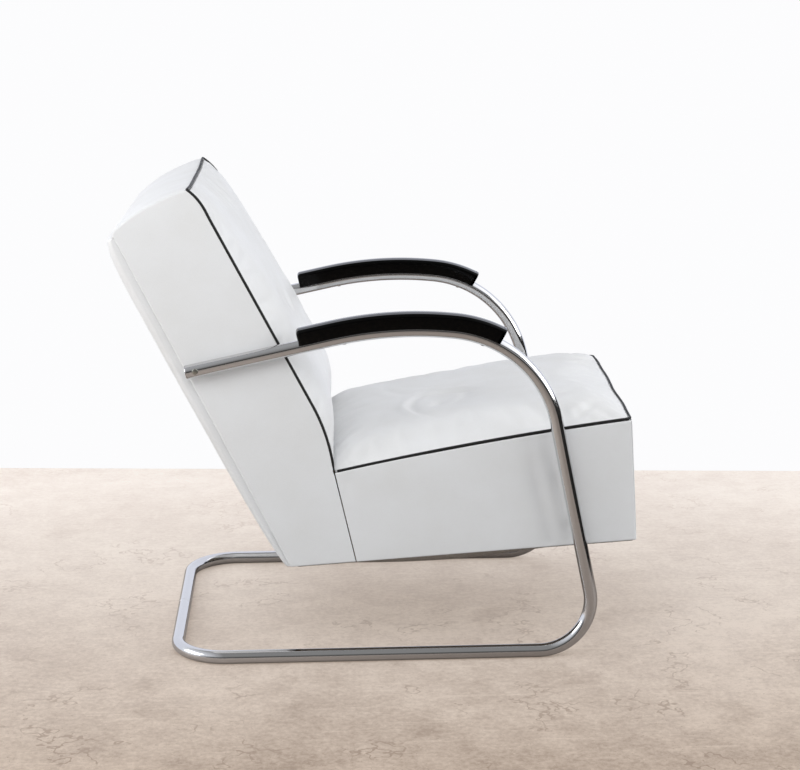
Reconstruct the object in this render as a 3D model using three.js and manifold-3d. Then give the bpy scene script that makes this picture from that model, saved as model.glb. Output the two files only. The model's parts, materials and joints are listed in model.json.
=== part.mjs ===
// A cantilever lounge chair: a bent steel tube frame in two halves, lacquered wooden armrests,
// and a sprung, upholstered seat and back on wooden frames.
// Millimetres, +Z up, +X to the front of the chair, -Y to the sitter's right, the floor at Z = 0.
import * as THREE from "three";
import { mergeVertices } from "three/addons/utils/BufferGeometryUtils.js";
import Module from "manifold-3d";

const wasm = await Module();
wasm.setup();

const degree = Math.PI / 180;
const quarter = 90 * degree;

// Driving sizes of the tube frame
const tubeDiameter = 24;
const tubeWall = 2;
const frameWidth = 564; // between the centre lines of the two sides
const floorBendRadius = 92;
const floorBarLength = 556; // the straight run between the rear and the front bend
const legLean = 11.5 * degree;
const legLength = 316;
const shoulderRadius = 206;
const shoulderTurn = 72 * degree;
const armRadius = 650;
const armTurn = 18.5 * degree;
const armTailLength = 258;

// Driving sizes of the seat, in its own frame: X along its underside, Z square to it
const seatAheadOfArmEnd = 288.5; // from the rear end of the arm to the foot of the seam at the back
const seatBelowArmEnd = 354;
const seatPitch = 3.5 * degree;
const seatLength = 500;
const seatFrontHeight = 224;
const seatRearHeight = 168;
const seatRearReach = 27; // how far the top of that seam lies behind its foot
const seatCrown = 39;
const seatPadDepth = 45;

// Driving sizes of the back, in its own frame: Z up along its front face, X square to it
const backBehindSeam = 59; // from the foot of that seam to the origin of the back
const backAboveSeam = 259;
const backRecline = 27.3 * degree;
const backRise = 467;
const backDepth = 170;
const backCrown = 27;
const loinCrown = 18; // the same at its foot
const backPadDepth = 45;
const crestDrop = 10; // the top falls by this much to its front and rear edges
const crestSetback = 12;
const crestBendLength = 37;
const loinBendTop = 30; // the front edge runs straight above this height
const rearCornerRadius = 17;

// Sizes that both share
const upholsteryWidth = 528;
const coverThickness = 5;
const rearPanelCrown = 28;
const frontPanelCrown = 6;
const pipingDiameter = 5;
const pipingBow = 6;
const seatPipingCorner = 12;
const backPipingCorner = 18;
const boardThickness = 22;
const webbingThickness = 3;
const webbingWidth = 50;
const dustCoverThickness = 2;
const gap = 0.3; // what two pieces that touch keep between them
const overrun = 2; // how far a cutting solid runs past what it cuts

const tubeRadius = tubeDiameter / 2;
const boreRadius = tubeRadius - tubeWall;
const sideY = frameWidth / 2;
const halfWidth = upholsteryWidth / 2;
const pipingRadius = pipingDiameter / 2;
const pipingY = halfWidth - pipingRadius;
const panelInnerY = halfWidth - coverThickness;
const padHalfWidth = panelInnerY - gap;
const boardOuterY = panelInnerY - gap;
const boardInnerY = boardOuterY - boardThickness;

// Facets of the round forms
const tubeSides = 16;
const boreSides = 12;
const turnedSides = 12;
const pipingSides = 6;
const floorBendSteps = 9;
const shoulderSteps = 12;
const armSteps = 6;

const finish = {
  chrome: { color: 0xb4b6b8, roughness: 0.12, metalness: 1 },
  steel: { color: 0x8d9093, roughness: 0.35, metalness: 1 },
  lacquer: { color: 0x0b0b0c, roughness: 0.12, metalness: 0 },
  wood: { color: 0xb98b5a, roughness: 0.7, metalness: 0 },
  cover: { color: 0xdcdcda, roughness: 0.5, metalness: 0 },
  piping: { color: 0x101012, roughness: 0.45, metalness: 0 },
  webbing: { color: 0x9b8560, roughness: 0.95, metalness: 0 },
  cloth: { color: 0x26262a, roughness: 0.95, metalness: 0 },
};

// Solids and geometries

function solid(geometry) {
  const bare = geometry.clone();
  bare.deleteAttribute("normal");
  bare.deleteAttribute("uv");
  const merged = mergeVertices(bare);
  return new wasm.Manifold(
    new wasm.Mesh({
      numProp: 3,
      vertProperties: merged.attributes.position.array,
      triVerts: new Uint32Array(merged.index.array),
    }),
  );
}

function geometryOf(made) {
  const mesh = made.getMesh();
  const geometry = new THREE.BufferGeometry();
  geometry.setAttribute("position", new THREE.BufferAttribute(mesh.vertProperties, mesh.numProp));
  geometry.setIndex(new THREE.BufferAttribute(mesh.triVerts, 1));
  geometry.computeVertexNormals();
  return geometry;
}

function cut(geometry, tools) {
  return geometryOf(tools.reduce((left, tool) => left.subtract(solid(tool)), solid(geometry)));
}

function joined(geometries) {
  const [first, ...rest] = geometries.map(solid);
  return geometryOf(rest.reduce((whole, next) => whole.add(next), first));
}

function outwardFacing(positions, indices) {
  const a = new THREE.Vector3();
  const b = new THREE.Vector3();
  const c = new THREE.Vector3();
  let volume = 0;
  for (let i = 0; i < indices.length; i += 3) {
    a.fromArray(positions, indices[i] * 3);
    b.fromArray(positions, indices[i + 1] * 3);
    c.fromArray(positions, indices[i + 2] * 3);
    volume += a.dot(b.cross(c));
  }
  return volume > 0 ? indices : indices.slice().reverse();
}

// A slab: an outline of [x, z] points, with its two faces at the heights nearY and farY along Y.
function slab(outline, nearY, farY) {
  const shape = new THREE.Shape(outline.map(([x, z]) => new THREE.Vector2(x, z)));
  const depth = farY - nearY;
  const geometry = new THREE.ExtrudeGeometry(shape, { depth, bevelEnabled: false });
  return geometry.rotateX(quarter).translate(0, farY, 0);
}

function sideSlab(outline, side, innerY, outerY) {
  return side < 0 ? slab(outline, -outerY, -innerY) : slab(outline, innerY, outerY);
}

function block(fromX, toX, fromY, toY, fromZ, toZ) {
  const geometry = new THREE.BoxGeometry(toX - fromX, toY - fromY, toZ - fromZ);
  return geometry.translate((fromX + toX) / 2, (fromY + toY) / 2, (fromZ + toZ) / 2);
}

// A cylinder along Y between two heights, through the point x, z.
function rodAlongY(radius, nearY, farY, x, z, sides = turnedSides) {
  const geometry = new THREE.CylinderGeometry(radius, radius, farY - nearY, sides);
  return geometry.translate(x, (nearY + farY) / 2, z);
}

function turned(profile) {
  return new THREE.LatheGeometry(profile.map(([x, y]) => new THREE.Vector2(x, y)), turnedSides);
}

// Corners of a regular outline whose flats lie at the given radius and face along the axes.
function flatSided(radius, sides) {
  const corner = radius / Math.cos(Math.PI / sides);
  return Array.from({ length: sides }, (_, i) => {
    const angle = ((i + 1 / 2) / sides) * 2 * Math.PI;
    return new THREE.Vector2(corner * Math.cos(angle), corner * Math.sin(angle));
  });
}

// Paths: each is a row of pieces, and each piece has its own number of steps

class BentPath extends THREE.Curve {
  constructor(pieces) {
    super();
    this.pieces = pieces;
    this.steps = pieces.reduce((sum, piece) => sum + piece.steps, 0);
  }

  locate(t) {
    let left = t * this.steps;
    const last = this.pieces.length - 1;
    const index = this.pieces.findIndex((piece, i) => {
      if (left <= piece.steps || i === last) return true;
      left -= piece.steps;
      return false;
    });
    return [this.pieces[index], left / this.pieces[index].steps];
  }

  getUtoTmapping(u) {
    return u;
  }

  getPoint(t, target = new THREE.Vector3()) {
    const [piece, share] = this.locate(t);
    return target.copy(piece.point(share));
  }

  getTangent(t, target = new THREE.Vector3()) {
    const [piece, share] = this.locate(t);
    return target.copy(piece.tangent(share));
  }
}

function straightPiece(start, direction, length) {
  return {
    steps: 1,
    point: (share) => start.clone().addScaledVector(direction, length * share),
    tangent: () => direction.clone(),
  };
}

// An arc that leaves start along direction and turns to the unit vector toward.
function arcPiece(start, direction, toward, radius, turn, steps) {
  return {
    steps,
    point: (share) =>
      start
        .clone()
        .addScaledVector(direction, radius * Math.sin(turn * share))
        .addScaledVector(toward, radius * (1 - Math.cos(turn * share))),
    tangent: (share) =>
      direction
        .clone()
        .multiplyScalar(Math.cos(turn * share))
        .addScaledVector(toward, Math.sin(turn * share)),
  };
}

// A piece traced through any function of its share, with its direction measured on it.
function tracedPiece(pointAt, steps) {
  const nudgeShare = 0.001;
  return {
    steps,
    point: pointAt,
    tangent: (share) => {
      const ahead = pointAt(Math.min(1, share + nudgeShare));
      return ahead.sub(pointAt(Math.max(0, share - nudgeShare))).normalize();
    },
  };
}

// The stretch of a piece between two shares of it.
function stretchOf(piece, from, to, steps) {
  const at = (share) => from + (to - from) * share;
  return {
    steps,
    point: (share) => piece.point(at(share)),
    tangent: (share) => piece.tangent(at(share)),
  };
}

// The same piece on the other side of the chair, run backwards.
function mirroredBack(piece) {
  return {
    steps: piece.steps,
    point: (share) => piece.point(1 - share).multiply(new THREE.Vector3(1, -1, 1)),
    tangent: (share) => piece.tangent(1 - share).multiply(new THREE.Vector3(-1, 1, -1)),
  };
}

function endOf(piece) {
  return { point: piece.point(1), direction: piece.tangent(1) };
}

// In the plane of a side, the way that the tube turns from its direction.
function inward(direction) {
  return new THREE.Vector3(-direction.z, 0, direction.x);
}

// Corners of a regular outline that lie on the given radius, for a cord.
function cornered(radius, sides) {
  return flatSided(radius * Math.cos(Math.PI / sides), sides);
}

function sweep(outline, path, hole) {
  const shape = new THREE.Shape(outline);
  if (hole) shape.holes.push(new THREE.Path(hole));
  return new THREE.ExtrudeGeometry(shape, { steps: path.steps, extrudePath: path });
}

// A pad: a grid over u (across, -1 to 1) and v (along, 0 to 1), with its crowned face at level 1
// and its flat one at level 0. placeAt(u, v, level) gives each point.
function crownedPad(across, along, wallLevels, placeAt) {
  const positions = [];
  const indices = [];
  const add = (u, v, level) => positions.push(...placeAt(u, v, level)) / 3 - 1;
  const uAt = (i) => Math.sin(((2 * i) / across - 1) * quarter);
  const vAt = (j) => (1 + Math.sin(((2 * j) / along - 1) * quarter)) / 2;
  const face = [];
  for (let j = 0; j <= along; j += 1) {
    face.push(Array.from({ length: across + 1 }, (_, i) => add(uAt(i), vAt(j), 1)));
  }
  const quad = (a, b, c, d) => indices.push(a, b, c, a, c, d);
  for (let j = 0; j < along; j += 1) {
    for (let i = 0; i < across; i += 1) {
      quad(face[j][i], face[j][i + 1], face[j + 1][i + 1], face[j + 1][i]);
    }
  }
  const rim = [];
  for (let i = 0; i < across; i += 1) rim.push([i, 0]);
  for (let j = 0; j < along; j += 1) rim.push([across, j]);
  for (let i = across; i > 0; i -= 1) rim.push([i, along]);
  for (let j = along; j > 0; j -= 1) rim.push([0, j]);
  let upper = rim.map(([i, j]) => face[j][i]);
  for (const level of wallLevels) {
    const lower = rim.map(([i, j]) => add(uAt(i), vAt(j), level));
    upper.forEach((top, k) => {
      const next = (k + 1) % rim.length;
      quad(top, lower[k], lower[next], upper[next]);
    });
    upper = lower;
  }
  const middle = add(0, 1 / 2, 0);
  upper.forEach((corner, k) => indices.push(upper[(k + 1) % rim.length], corner, middle));
  const geometry = new THREE.BufferGeometry();
  geometry.setAttribute("position", new THREE.Float32BufferAttribute(positions, 3));
  geometry.setIndex(outwardFacing(positions, indices));
  geometry.computeVertexNormals();
  return geometry;
}

// How high a crowned cover stands at a share of the way from its middle to its edge.
function crownShare(fromMiddle, fullnessPowerShare = 0.6) {
  const flatnessPowerShare = 4;
  return (1 - Math.min(1, Math.abs(fromMiddle)) ** flatnessPowerShare) ** fullnessPowerShare;
}

// The tube frame: each half runs from the seam in the middle of the rear crossbar, round the rear
// corner, along the floor, up the leaning leg and back over the shoulder to the end of the arm.

const halfLap = gap / 2;

function tubePieces(sign) {
  const across = new THREE.Vector3(0, sign, 0);
  const forward = new THREE.Vector3(1, 0, 0);
  const start = new THREE.Vector3(0, sign * halfLap, tubeRadius);
  const crossbar = straightPiece(start, across, sideY - floorBendRadius - halfLap);
  let at = endOf(crossbar);
  const corner = arcPiece(at.point, at.direction, forward, floorBendRadius, quarter, floorBendSteps);
  const floorBar = straightPiece(corner.point(1), forward, floorBarLength);
  at = endOf(floorBar);
  const toe = arcPiece(
    at.point, forward, inward(forward), floorBendRadius, quarter + legLean, floorBendSteps,
  );
  at = endOf(toe);
  const leg = straightPiece(at.point, at.direction, legLength);
  at = endOf(leg);
  const shoulder = arcPiece(
    at.point, at.direction, inward(at.direction), shoulderRadius, shoulderTurn, shoulderSteps,
  );
  at = endOf(shoulder);
  const arm = arcPiece(at.point, at.direction, inward(at.direction), armRadius, armTurn, armSteps);
  at = endOf(arm);
  const tail = straightPiece(at.point, at.direction, armTailLength);
  return { crossbar, corner, floorBar, toe, leg, shoulder, arm, tail };
}

const chair = new THREE.Group();
const model = new THREE.Group();
chair.add(model);

// The seat and the back hang from the rear ends of the arms.
const armEnd = tubePieces(1).tail.point(1);
const seatRearX = armEnd.x + seatAheadOfArmEnd;
const seatRearZ = armEnd.z - seatBelowArmEnd;
const backOriginX = seatRearX - backBehindSeam;
const backOriginZ = seatRearZ + backAboveSeam;

const frameGroup = new THREE.Group();
const seatGroup = new THREE.Group();
seatGroup.position.set(seatRearX, 0, seatRearZ);
seatGroup.rotation.y = -seatPitch;
const backGroup = new THREE.Group();
backGroup.position.set(backOriginX, 0, backOriginZ);
backGroup.rotation.y = -backRecline;
model.add(frameGroup, seatGroup, backGroup);

function place(group, name, geometry, material) {
  const mesh = new THREE.Mesh(geometry, new THREE.MeshStandardMaterial(finish[material]));
  mesh.name = name;
  group.add(mesh);
  return mesh;
}

// Points of the chair's own frame, [x, z], in the frame of the seat or of the back, and back again
function intoTurned(originX, originZ, angle, [x, z]) {
  const dx = x - originX;
  const dz = z - originZ;
  return [dx * Math.cos(angle) + dz * Math.sin(angle), dz * Math.cos(angle) - dx * Math.sin(angle)];
}
function outOfSeat([x, z]) {
  return [
    seatRearX + x * Math.cos(seatPitch) - z * Math.sin(seatPitch),
    seatRearZ + x * Math.sin(seatPitch) + z * Math.cos(seatPitch),
  ];
}
const intoSeat = (point) => intoTurned(seatRearX, seatRearZ, seatPitch, point);
const intoBack = (point) => intoTurned(backOriginX, backOriginZ, backRecline, point);
const seatToBack = (point) => intoBack(outOfSeat(point));

const sides = [
  { name: "right", sign: -1 },
  { name: "left", sign: 1 },
];

// Fixings of the frame
const sleeveLength = 100;
const sleeveScrewOffset = 30;
const sleeveScrewRadius = 2;
const sleeveScrewHead = 3.8;
const sleeveScrewHeadHeight = 2.2;
const ventRadius = 1.5;
const ventAlongLeg = 62; // up the straight of the leg, from its lower end
const backScrewFromEnd = 16;
const backScrewRadius = 3;
const backScrewHead = 4.8;
const backScrewHeadHeight = 3;
const backScrewGrip = 16; // how far it reaches into the board of the back
const seatBoltHeights = [48, 137]; // above the underside of the seat
const seatBoltRadius = 4;
const seatBoltHead = 7.5;
const seatBoltHeadHeight = 5.5;
const spacerRadius = 9;
const armrestScrewRadius = 2;
const armrestScrewHead = 3.6;
const armrestScrewHeadHeight = 2.4;
const armrestScrewGrip = 12;
const screwClearance = 0.4;
const plugThickness = 2.5;
const plugSpigotLength = 8;

// The armrest sits on the last steps of the shoulder, the whole arm curve and the start of the tail.
const armrestShoulderSteps = 4;
const armrestTail = 58;
const armrestWidth = 34;
const armrestTop = 33; // above the centre line of the tube
const armrestCrown = 3;
const armrestSkirt = 4; // its sides end this far above the centre line
const armrestEdgeRadius = 6;

function backScrewSpot() {
  const { tail } = tubePieces(1);
  const { x, z } = tail.point(1 - backScrewFromEnd / armTailLength);
  return [x, z];
}

// Where the leg passes those heights, as [x, z].
function seatBoltSpots() {
  const { leg } = tubePieces(1);
  const foot = leg.point(0);
  const head = leg.point(1);
  const [, footHeight] = intoSeat([foot.x, foot.z]);
  const [, headHeight] = intoSeat([head.x, head.z]);
  return seatBoltHeights.map((height) => {
    const { x, z } = leg.point((height - footHeight) / (headHeight - footHeight));
    return [x, z];
  });
}

// The two spots where a screw holds the armrest, each with the way up out of the tube there.
function armrestScrewSpots(sign) {
  const { shoulder, arm } = tubePieces(sign);
  const outward = (direction) => inward(direction).negate();
  const frontShare = 1 - (armrestShoulderSteps / 2 + 1 / 2) / shoulderSteps;
  const rearShare = 1 - 1 / 2 / armSteps;
  return [
    { name: "front", at: shoulder.point(frontShare), up: outward(shoulder.tangent(frontShare)) },
    { name: "rear", at: arm.point(rearShare), up: outward(arm.tangent(rearShare)) },
  ];
}

function turnedTo(geometry, at, up) {
  const turn = new THREE.Quaternion().setFromUnitVectors(new THREE.Vector3(0, 1, 0), up);
  return geometry.applyQuaternion(turn).translate(at.x, at.y, at.z);
}

function frameTube(sign) {
  const pieces = tubePieces(sign);
  const path = new BentPath(Object.values(pieces));
  const tube = sweep(flatSided(tubeRadius, tubeSides), path, flatSided(boreRadius, boreSides));
  const insideY = sign * (sideY - tubeRadius);
  const outsideY = sign * (sideY + tubeRadius);
  const span = (a, b) => [Math.min(a, b), Math.max(a, b)];
  const seatHoles = seatBoltSpots().map(([x, z]) => {
    const ends = span(insideY - sign * overrun, sign * sideY);
    return rodAlongY(seatBoltRadius + screwClearance, ...ends, x, z);
  });
  const backEnds = span(insideY - sign * overrun, outsideY + sign * overrun);
  const backHole = rodAlongY(backScrewRadius + screwClearance, ...backEnds, ...backScrewSpot());
  const ventAt = pieces.leg.point(ventAlongLeg / legLength);
  const ventEnds = span(sign * sideY, outsideY + sign * overrun);
  const vent = rodAlongY(ventRadius, ...ventEnds, ventAt.x, ventAt.z);
  const screwHoles = armrestScrewSpots(sign).map(({ at, up }) =>
    turnedTo(
      new THREE.CylinderGeometry(
        armrestScrewRadius + screwClearance, armrestScrewRadius + screwClearance,
        tubeDiameter + 2 * overrun, turnedSides,
      ),
      at, up,
    ),
  );
  const sleeveHole = sleeveScrewTool(sign, sleeveScrewRadius + screwClearance, tubeWall + 2 * overrun);
  return cut(tube, [...seatHoles, backHole, vent, ...screwHoles, sleeveHole]);
}

// A rod along X through the inner wall of the crossbar, centred on that wall.
function sleeveScrewTool(sign, radius, length) {
  const geometry = new THREE.CylinderGeometry(radius, radius, length, turnedSides);
  return geometry.rotateZ(quarter).translate(tubeRadius, sign * sleeveScrewOffset, tubeRadius);
}

function crossbarSleeve() {
  const half = sleeveLength / 2;
  const start = new THREE.Vector3(0, -half, tubeRadius);
  const path = new BentPath([straightPiece(start, new THREE.Vector3(0, 1, 0), sleeveLength)]);
  const outer = boreRadius - gap;
  const sleeve = sweep(flatSided(outer, boreSides), path, flatSided(outer - tubeWall, boreSides));
  const reach = 2 * (tubeWall + gap + tubeWall + overrun);
  const tools = sides.map(({ sign }) =>
    sleeveScrewTool(sign, sleeveScrewRadius + screwClearance, reach),
  );
  return cut(sleeve, tools);
}

// A screw with a domed head: its seat is at height 0, its shank runs down and its head up.
function domedScrew(radius, length, head, height) {
  const shoulderShare = 0.55;
  const shoulderWidthShare = 0.85;
  return turned([
    [0, -length],
    [radius, -length],
    [radius, 0],
    [head, 0],
    [head * shoulderWidthShare, height * shoulderShare],
    [0, height],
  ]);
}

function tubePlug() {
  const spigot = boreRadius - gap;
  const edge = tubeWall / 2;
  return turned([
    [0, -plugSpigotLength],
    [spigot - edge / 2, -plugSpigotLength],
    [spigot - edge / 2, 0],
    [tubeRadius - gap, 0],
    [tubeRadius - edge, plugThickness],
    [0, plugThickness],
  ]);
}

function armrestOutline() {
  const grooveRadius = tubeRadius + gap;
  const facet = (2 * Math.PI) / tubeSides;
  const grooveEdge = (grooveRadius - armrestSkirt * Math.sin(facet)) / Math.cos(facet);
  const groove = flatSided(grooveRadius, tubeSides).filter((p) => p.y > armrestSkirt);
  groove.sort((a, b) => a.x - b.x);
  const half = armrestWidth / 2;
  const edgeTop = armrestTop - armrestCrown;
  const outline = [
    new THREE.Vector2(-half, armrestSkirt),
    new THREE.Vector2(-grooveEdge, armrestSkirt),
    ...groove,
    new THREE.Vector2(grooveEdge, armrestSkirt),
    new THREE.Vector2(half, armrestSkirt),
  ];
  const cornerSteps = 3;
  const top = [];
  for (let i = 0; i <= cornerSteps; i += 1) {
    const angle = (i / cornerSteps) * quarter;
    const x = half - armrestEdgeRadius * (1 - Math.cos(angle));
    top.push([x, edgeTop - armrestEdgeRadius * (1 - Math.sin(angle))]);
  }
  const right = top.map(([x, y]) => new THREE.Vector2(x, y));
  const left = top.reverse().map(([x, y]) => new THREE.Vector2(-x, y));
  return [...outline, ...right, new THREE.Vector2(0, armrestTop), ...left];
}

function armrest(sign) {
  const { shoulder, arm, tail } = tubePieces(sign);
  const fromShare = 1 - armrestShoulderSteps / shoulderSteps;
  const path = new BentPath([
    stretchOf(shoulder, fromShare, 1, armrestShoulderSteps),
    arm,
    stretchOf(tail, 0, armrestTail / armTailLength, 1),
  ]);
  const holes = armrestScrewSpots(sign).map(({ at, up }) => {
    const bore = armrestScrewRadius + gap;
    const top = tubeRadius + armrestScrewGrip + gap;
    const rod = new THREE.CylinderGeometry(bore, bore, top, turnedSides).translate(0, top / 2, 0);
    return turnedTo(rod, at, up);
  });
  return cut(sweep(armrestOutline(), path), holes);
}

function placeScrew(name, geometry, at, up, material = "steel") {
  const screw = place(frameGroup, name, geometry, material);
  screw.position.copy(at);
  screw.quaternion.setFromUnitVectors(new THREE.Vector3(0, 1, 0), up);
}

// A hexagon bolt: its head lies below height 0 and its shank runs up.
function seatBolt(length) {
  const hexagonSides = 6;
  const shank = rodAlongY(seatBoltRadius, -seatBoltHeadHeight / 2, length, 0, 0);
  const head = rodAlongY(seatBoltHead, -seatBoltHeadHeight, 0, 0, 0, hexagonSides);
  return joined([shank, head]);
}

function addFrame() {
  place(frameGroup, "crossbar_sleeve", crossbarSleeve(), "steel");
  for (const { name, sign } of sides) {
    const outward = new THREE.Vector3(0, sign, 0);
    place(frameGroup, `frame_tube_${name}`, frameTube(sign), "chrome");
    place(frameGroup, `armrest_${name}`, armrest(sign), "lacquer");

    const forward = new THREE.Vector3(1, 0, 0);
    const sleeveSeat = new THREE.Vector3(tubeRadius + gap, sign * sleeveScrewOffset, tubeRadius);
    const sleeveReach = tubeWall + tubeWall + 2 * gap + tubeWall / 2;
    const sleeveScrew = domedScrew(
      sleeveScrewRadius, sleeveReach, sleeveScrewHead, sleeveScrewHeadHeight,
    );
    placeScrew(`sleeve_screw_${name}`, sleeveScrew, sleeveSeat, forward);

    const tailEnd = endOf(tubePieces(sign).tail);
    const plugAt = tailEnd.point.addScaledVector(tailEnd.direction, gap);
    placeScrew(`tube_plug_${name}`, tubePlug(), plugAt, tailEnd.direction, "chrome");

    for (const spot of armrestScrewSpots(sign)) {
      const down = spot.up.clone().negate();
      const screw = domedScrew(
        armrestScrewRadius, tubeDiameter + armrestScrewGrip, armrestScrewHead, armrestScrewHeadHeight,
      );
      const seat = spot.at.clone().addScaledVector(down, tubeRadius + 2 * gap);
      placeScrew(`armrest_screw_${name}_${spot.name}`, screw, seat, down);
    }

    const [screwX, screwZ] = backScrewSpot();
    const headSeat = sideY + tubeRadius + gap;
    const backScrewLength = headSeat - boardOuterY + backScrewGrip;
    const backScrew = domedScrew(
      backScrewRadius, backScrewLength, backScrewHead, backScrewHeadHeight,
    );
    const backSeat = new THREE.Vector3(screwX, sign * headSeat, screwZ);
    placeScrew(`back_screw_${name}`, backScrew, backSeat, outward, "chrome");
    placeSpacer(`back_spacer_${name}`, backScrewRadius, sign, [screwX, screwZ]);

    seatBoltSpots().forEach((spot, i) => {
      const level = i === 0 ? "lower" : "upper";
      const length = sideY - tubeRadius / 2 - (boardInnerY - gap);
      const bolt = seatBolt(length);
      const seat = new THREE.Vector3(spot[0], sign * (boardInnerY - gap), spot[1]);
      placeScrew(`seat_bolt_${name}_${level}`, bolt, seat, outward);
      placeSpacer(`seat_spacer_${name}_${level}`, seatBoltRadius, sign, spot);
    });
  }
}

// A ring between the cover of the upholstery and the tube.
function placeSpacer(name, boltRadius, sign, [x, z]) {
  const inner = halfWidth + gap;
  const outer = sideY - tubeRadius - gap;
  const ring = rodAlongY(spacerRadius, 0, outer - inner, 0, 0, tubeSides);
  const hole = rodAlongY(boltRadius + screwClearance, -overrun, outer - inner + overrun, 0, 0);
  const spacer = place(frameGroup, name, cut(ring, [hole]), "steel");
  spacer.position.set(x, sign > 0 ? inner : -outer, z);
}

// The seat

function pipingHeight(x) {
  const share = (x + seatRearReach) / (seatLength + seatRearReach);
  const rise = (seatFrontHeight - seatRearHeight) * share;
  return seatRearHeight + rise + pipingBow * 4 * share * (1 - share);
}

// The straight top edge of the boards and underside of the pad, seatPadDepth below the piping's ends.
function padFloor(x) {
  const share = (x + seatRearReach) / (seatLength + seatRearReach);
  return seatRearHeight - seatPadDepth + (seatFrontHeight - seatRearHeight) * share;
}

const seamSlope = seatRearReach / seatRearHeight;
const seamX = (z) => -seamSlope * z;
const boardFoot = dustCoverThickness + webbingThickness + 2 * gap;
const webbingFoot = dustCoverThickness + gap;
const frontInnerX = seatLength - coverThickness - gap;

function seatSidePanelOutline() {
  const top = pipingRadius + gap;
  const topSteps = 6;
  const rearX = seamX(seatRearHeight) + gap;
  const topEdge = Array.from({ length: topSteps + 1 }, (_, i) => {
    const x = frontInnerX + ((rearX - frontInnerX) * i) / topSteps;
    return [x, pipingHeight(x) - top];
  });
  return [[gap, 0], [frontInnerX, 0], ...topEdge];
}

function boltHolesInSeat(sign, radius, innerY, outerY) {
  const nearY = sign < 0 ? -outerY : innerY;
  const farY = sign < 0 ? -innerY : outerY;
  return seatBoltSpots().map((spot) => rodAlongY(radius, nearY, farY, ...intoSeat(spot)));
}

function seatSideRail(sign) {
  const frontX = frontInnerX;
  const rearAt = (z) => seamX(z) + gap;
  const topRear = padFloor(rearAt(seatRearHeight)) - gap;
  const outline = [
    [rearAt(boardFoot), boardFoot],
    [frontX, boardFoot],
    [frontX, padFloor(frontX) - gap],
    [rearAt(topRear), topRear],
  ];
  const rail = sideSlab(outline, sign, boardInnerY, boardOuterY);
  const holeRadius = seatBoltRadius + screwClearance;
  return cut(rail, boltHolesInSeat(sign, holeRadius, boardInnerY - overrun, boardOuterY + overrun));
}

// The room that the heads of the bolts need inside the side rails, where a piece comes near them.
function boltPockets(sign) {
  const innerY = boardInnerY - 2 * gap - seatBoltHeadHeight;
  return boltHolesInSeat(sign, seatBoltHead + screwClearance, innerY, boardInnerY + overrun);
}

// A rail across the seat, its top cut to the floor of the pad.
function seatCrossRail(fromX, toX, half) {
  const outline = [
    [fromX, boardFoot],
    [toX, boardFoot],
    [toX, padFloor(toX) - gap],
    [fromX, padFloor(fromX) - gap],
  ];
  return slab(outline, -half, half);
}

// A steel plate on each side joins the frame of the back to the frame of the seat.
const plateThickness = 3;
const plateLength = 150;
const plateHeight = 44;
const plateBelowPad = 9;
const plateFoot = seatRearHeight - seatPadDepth - plateBelowPad - plateHeight;

const cornerBlockLeg = 46;
const blockBelowPlate = 4;
const cornerBlockHeight = plateFoot - blockBelowPlate - boardFoot;
const rearRailX = gap;

function cornerBlock(sign, rear) {
  const side = sign * (boardInnerY - gap);
  const inner = side - sign * cornerBlockLeg;
  const wall = rear
    ? rearRailX + boardThickness + gap
    : frontInnerX - boardThickness - gap;
  const reach = rear ? wall + cornerBlockLeg : wall - cornerBlockLeg;
  const shape = new THREE.Shape([
    new THREE.Vector2(wall, side),
    new THREE.Vector2(reach, side),
    new THREE.Vector2(wall, inner),
  ]);
  const geometry = new THREE.ExtrudeGeometry(shape, { depth: cornerBlockHeight, bevelEnabled: false });
  return cut(geometry.translate(0, 0, boardFoot), boltPockets(sign));
}

// A lattice of straps, in the plane of its own X and Y, joined where they cross. The ones across
// are the thinner, so that no two faces of the lattice meet in one plane.
function webbing(fromX, toX, halfY, alongCount, acrossCount) {
  const strapsAlong = spread(-halfY, halfY, alongCount).map((y) =>
    block(fromX, toX, y - webbingWidth / 2, y + webbingWidth / 2, 0, webbingThickness),
  );
  const strapsAcross = spread(fromX, toX, acrossCount).map((x) =>
    block(x - webbingWidth / 2, x + webbingWidth / 2, -halfY, halfY, gap, webbingThickness - gap),
  );
  return joined([...strapsAlong, ...strapsAcross]);
}

// Places for a number of straps between two ends, the outer ones as far in as the gaps between them.
function spread(from, to, count) {
  const pitch = (to - from) / count;
  return Array.from({ length: count }, (_, i) => from + pitch * (i + 1 / 2));
}

const seatStrapsAlong = 5;
const seatStrapsAcross = 5;
const backStrapsAlong = 4;
const backStrapsAcross = 5;

// Draws a point of a pad in to a round corner of the given radius.
function softened(x, y, cornerX, cornerY, radius) {
  const dx = x - (cornerX - radius);
  const dy = Math.abs(y) - (cornerY - radius);
  if (dx <= 0 || dy <= 0) return [x, y];
  const draw = Math.max(dx, dy) / Math.hypot(dx, dy);
  return [cornerX - radius + dx * draw, Math.sign(y) * (cornerY - radius + dy * draw)];
}

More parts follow.
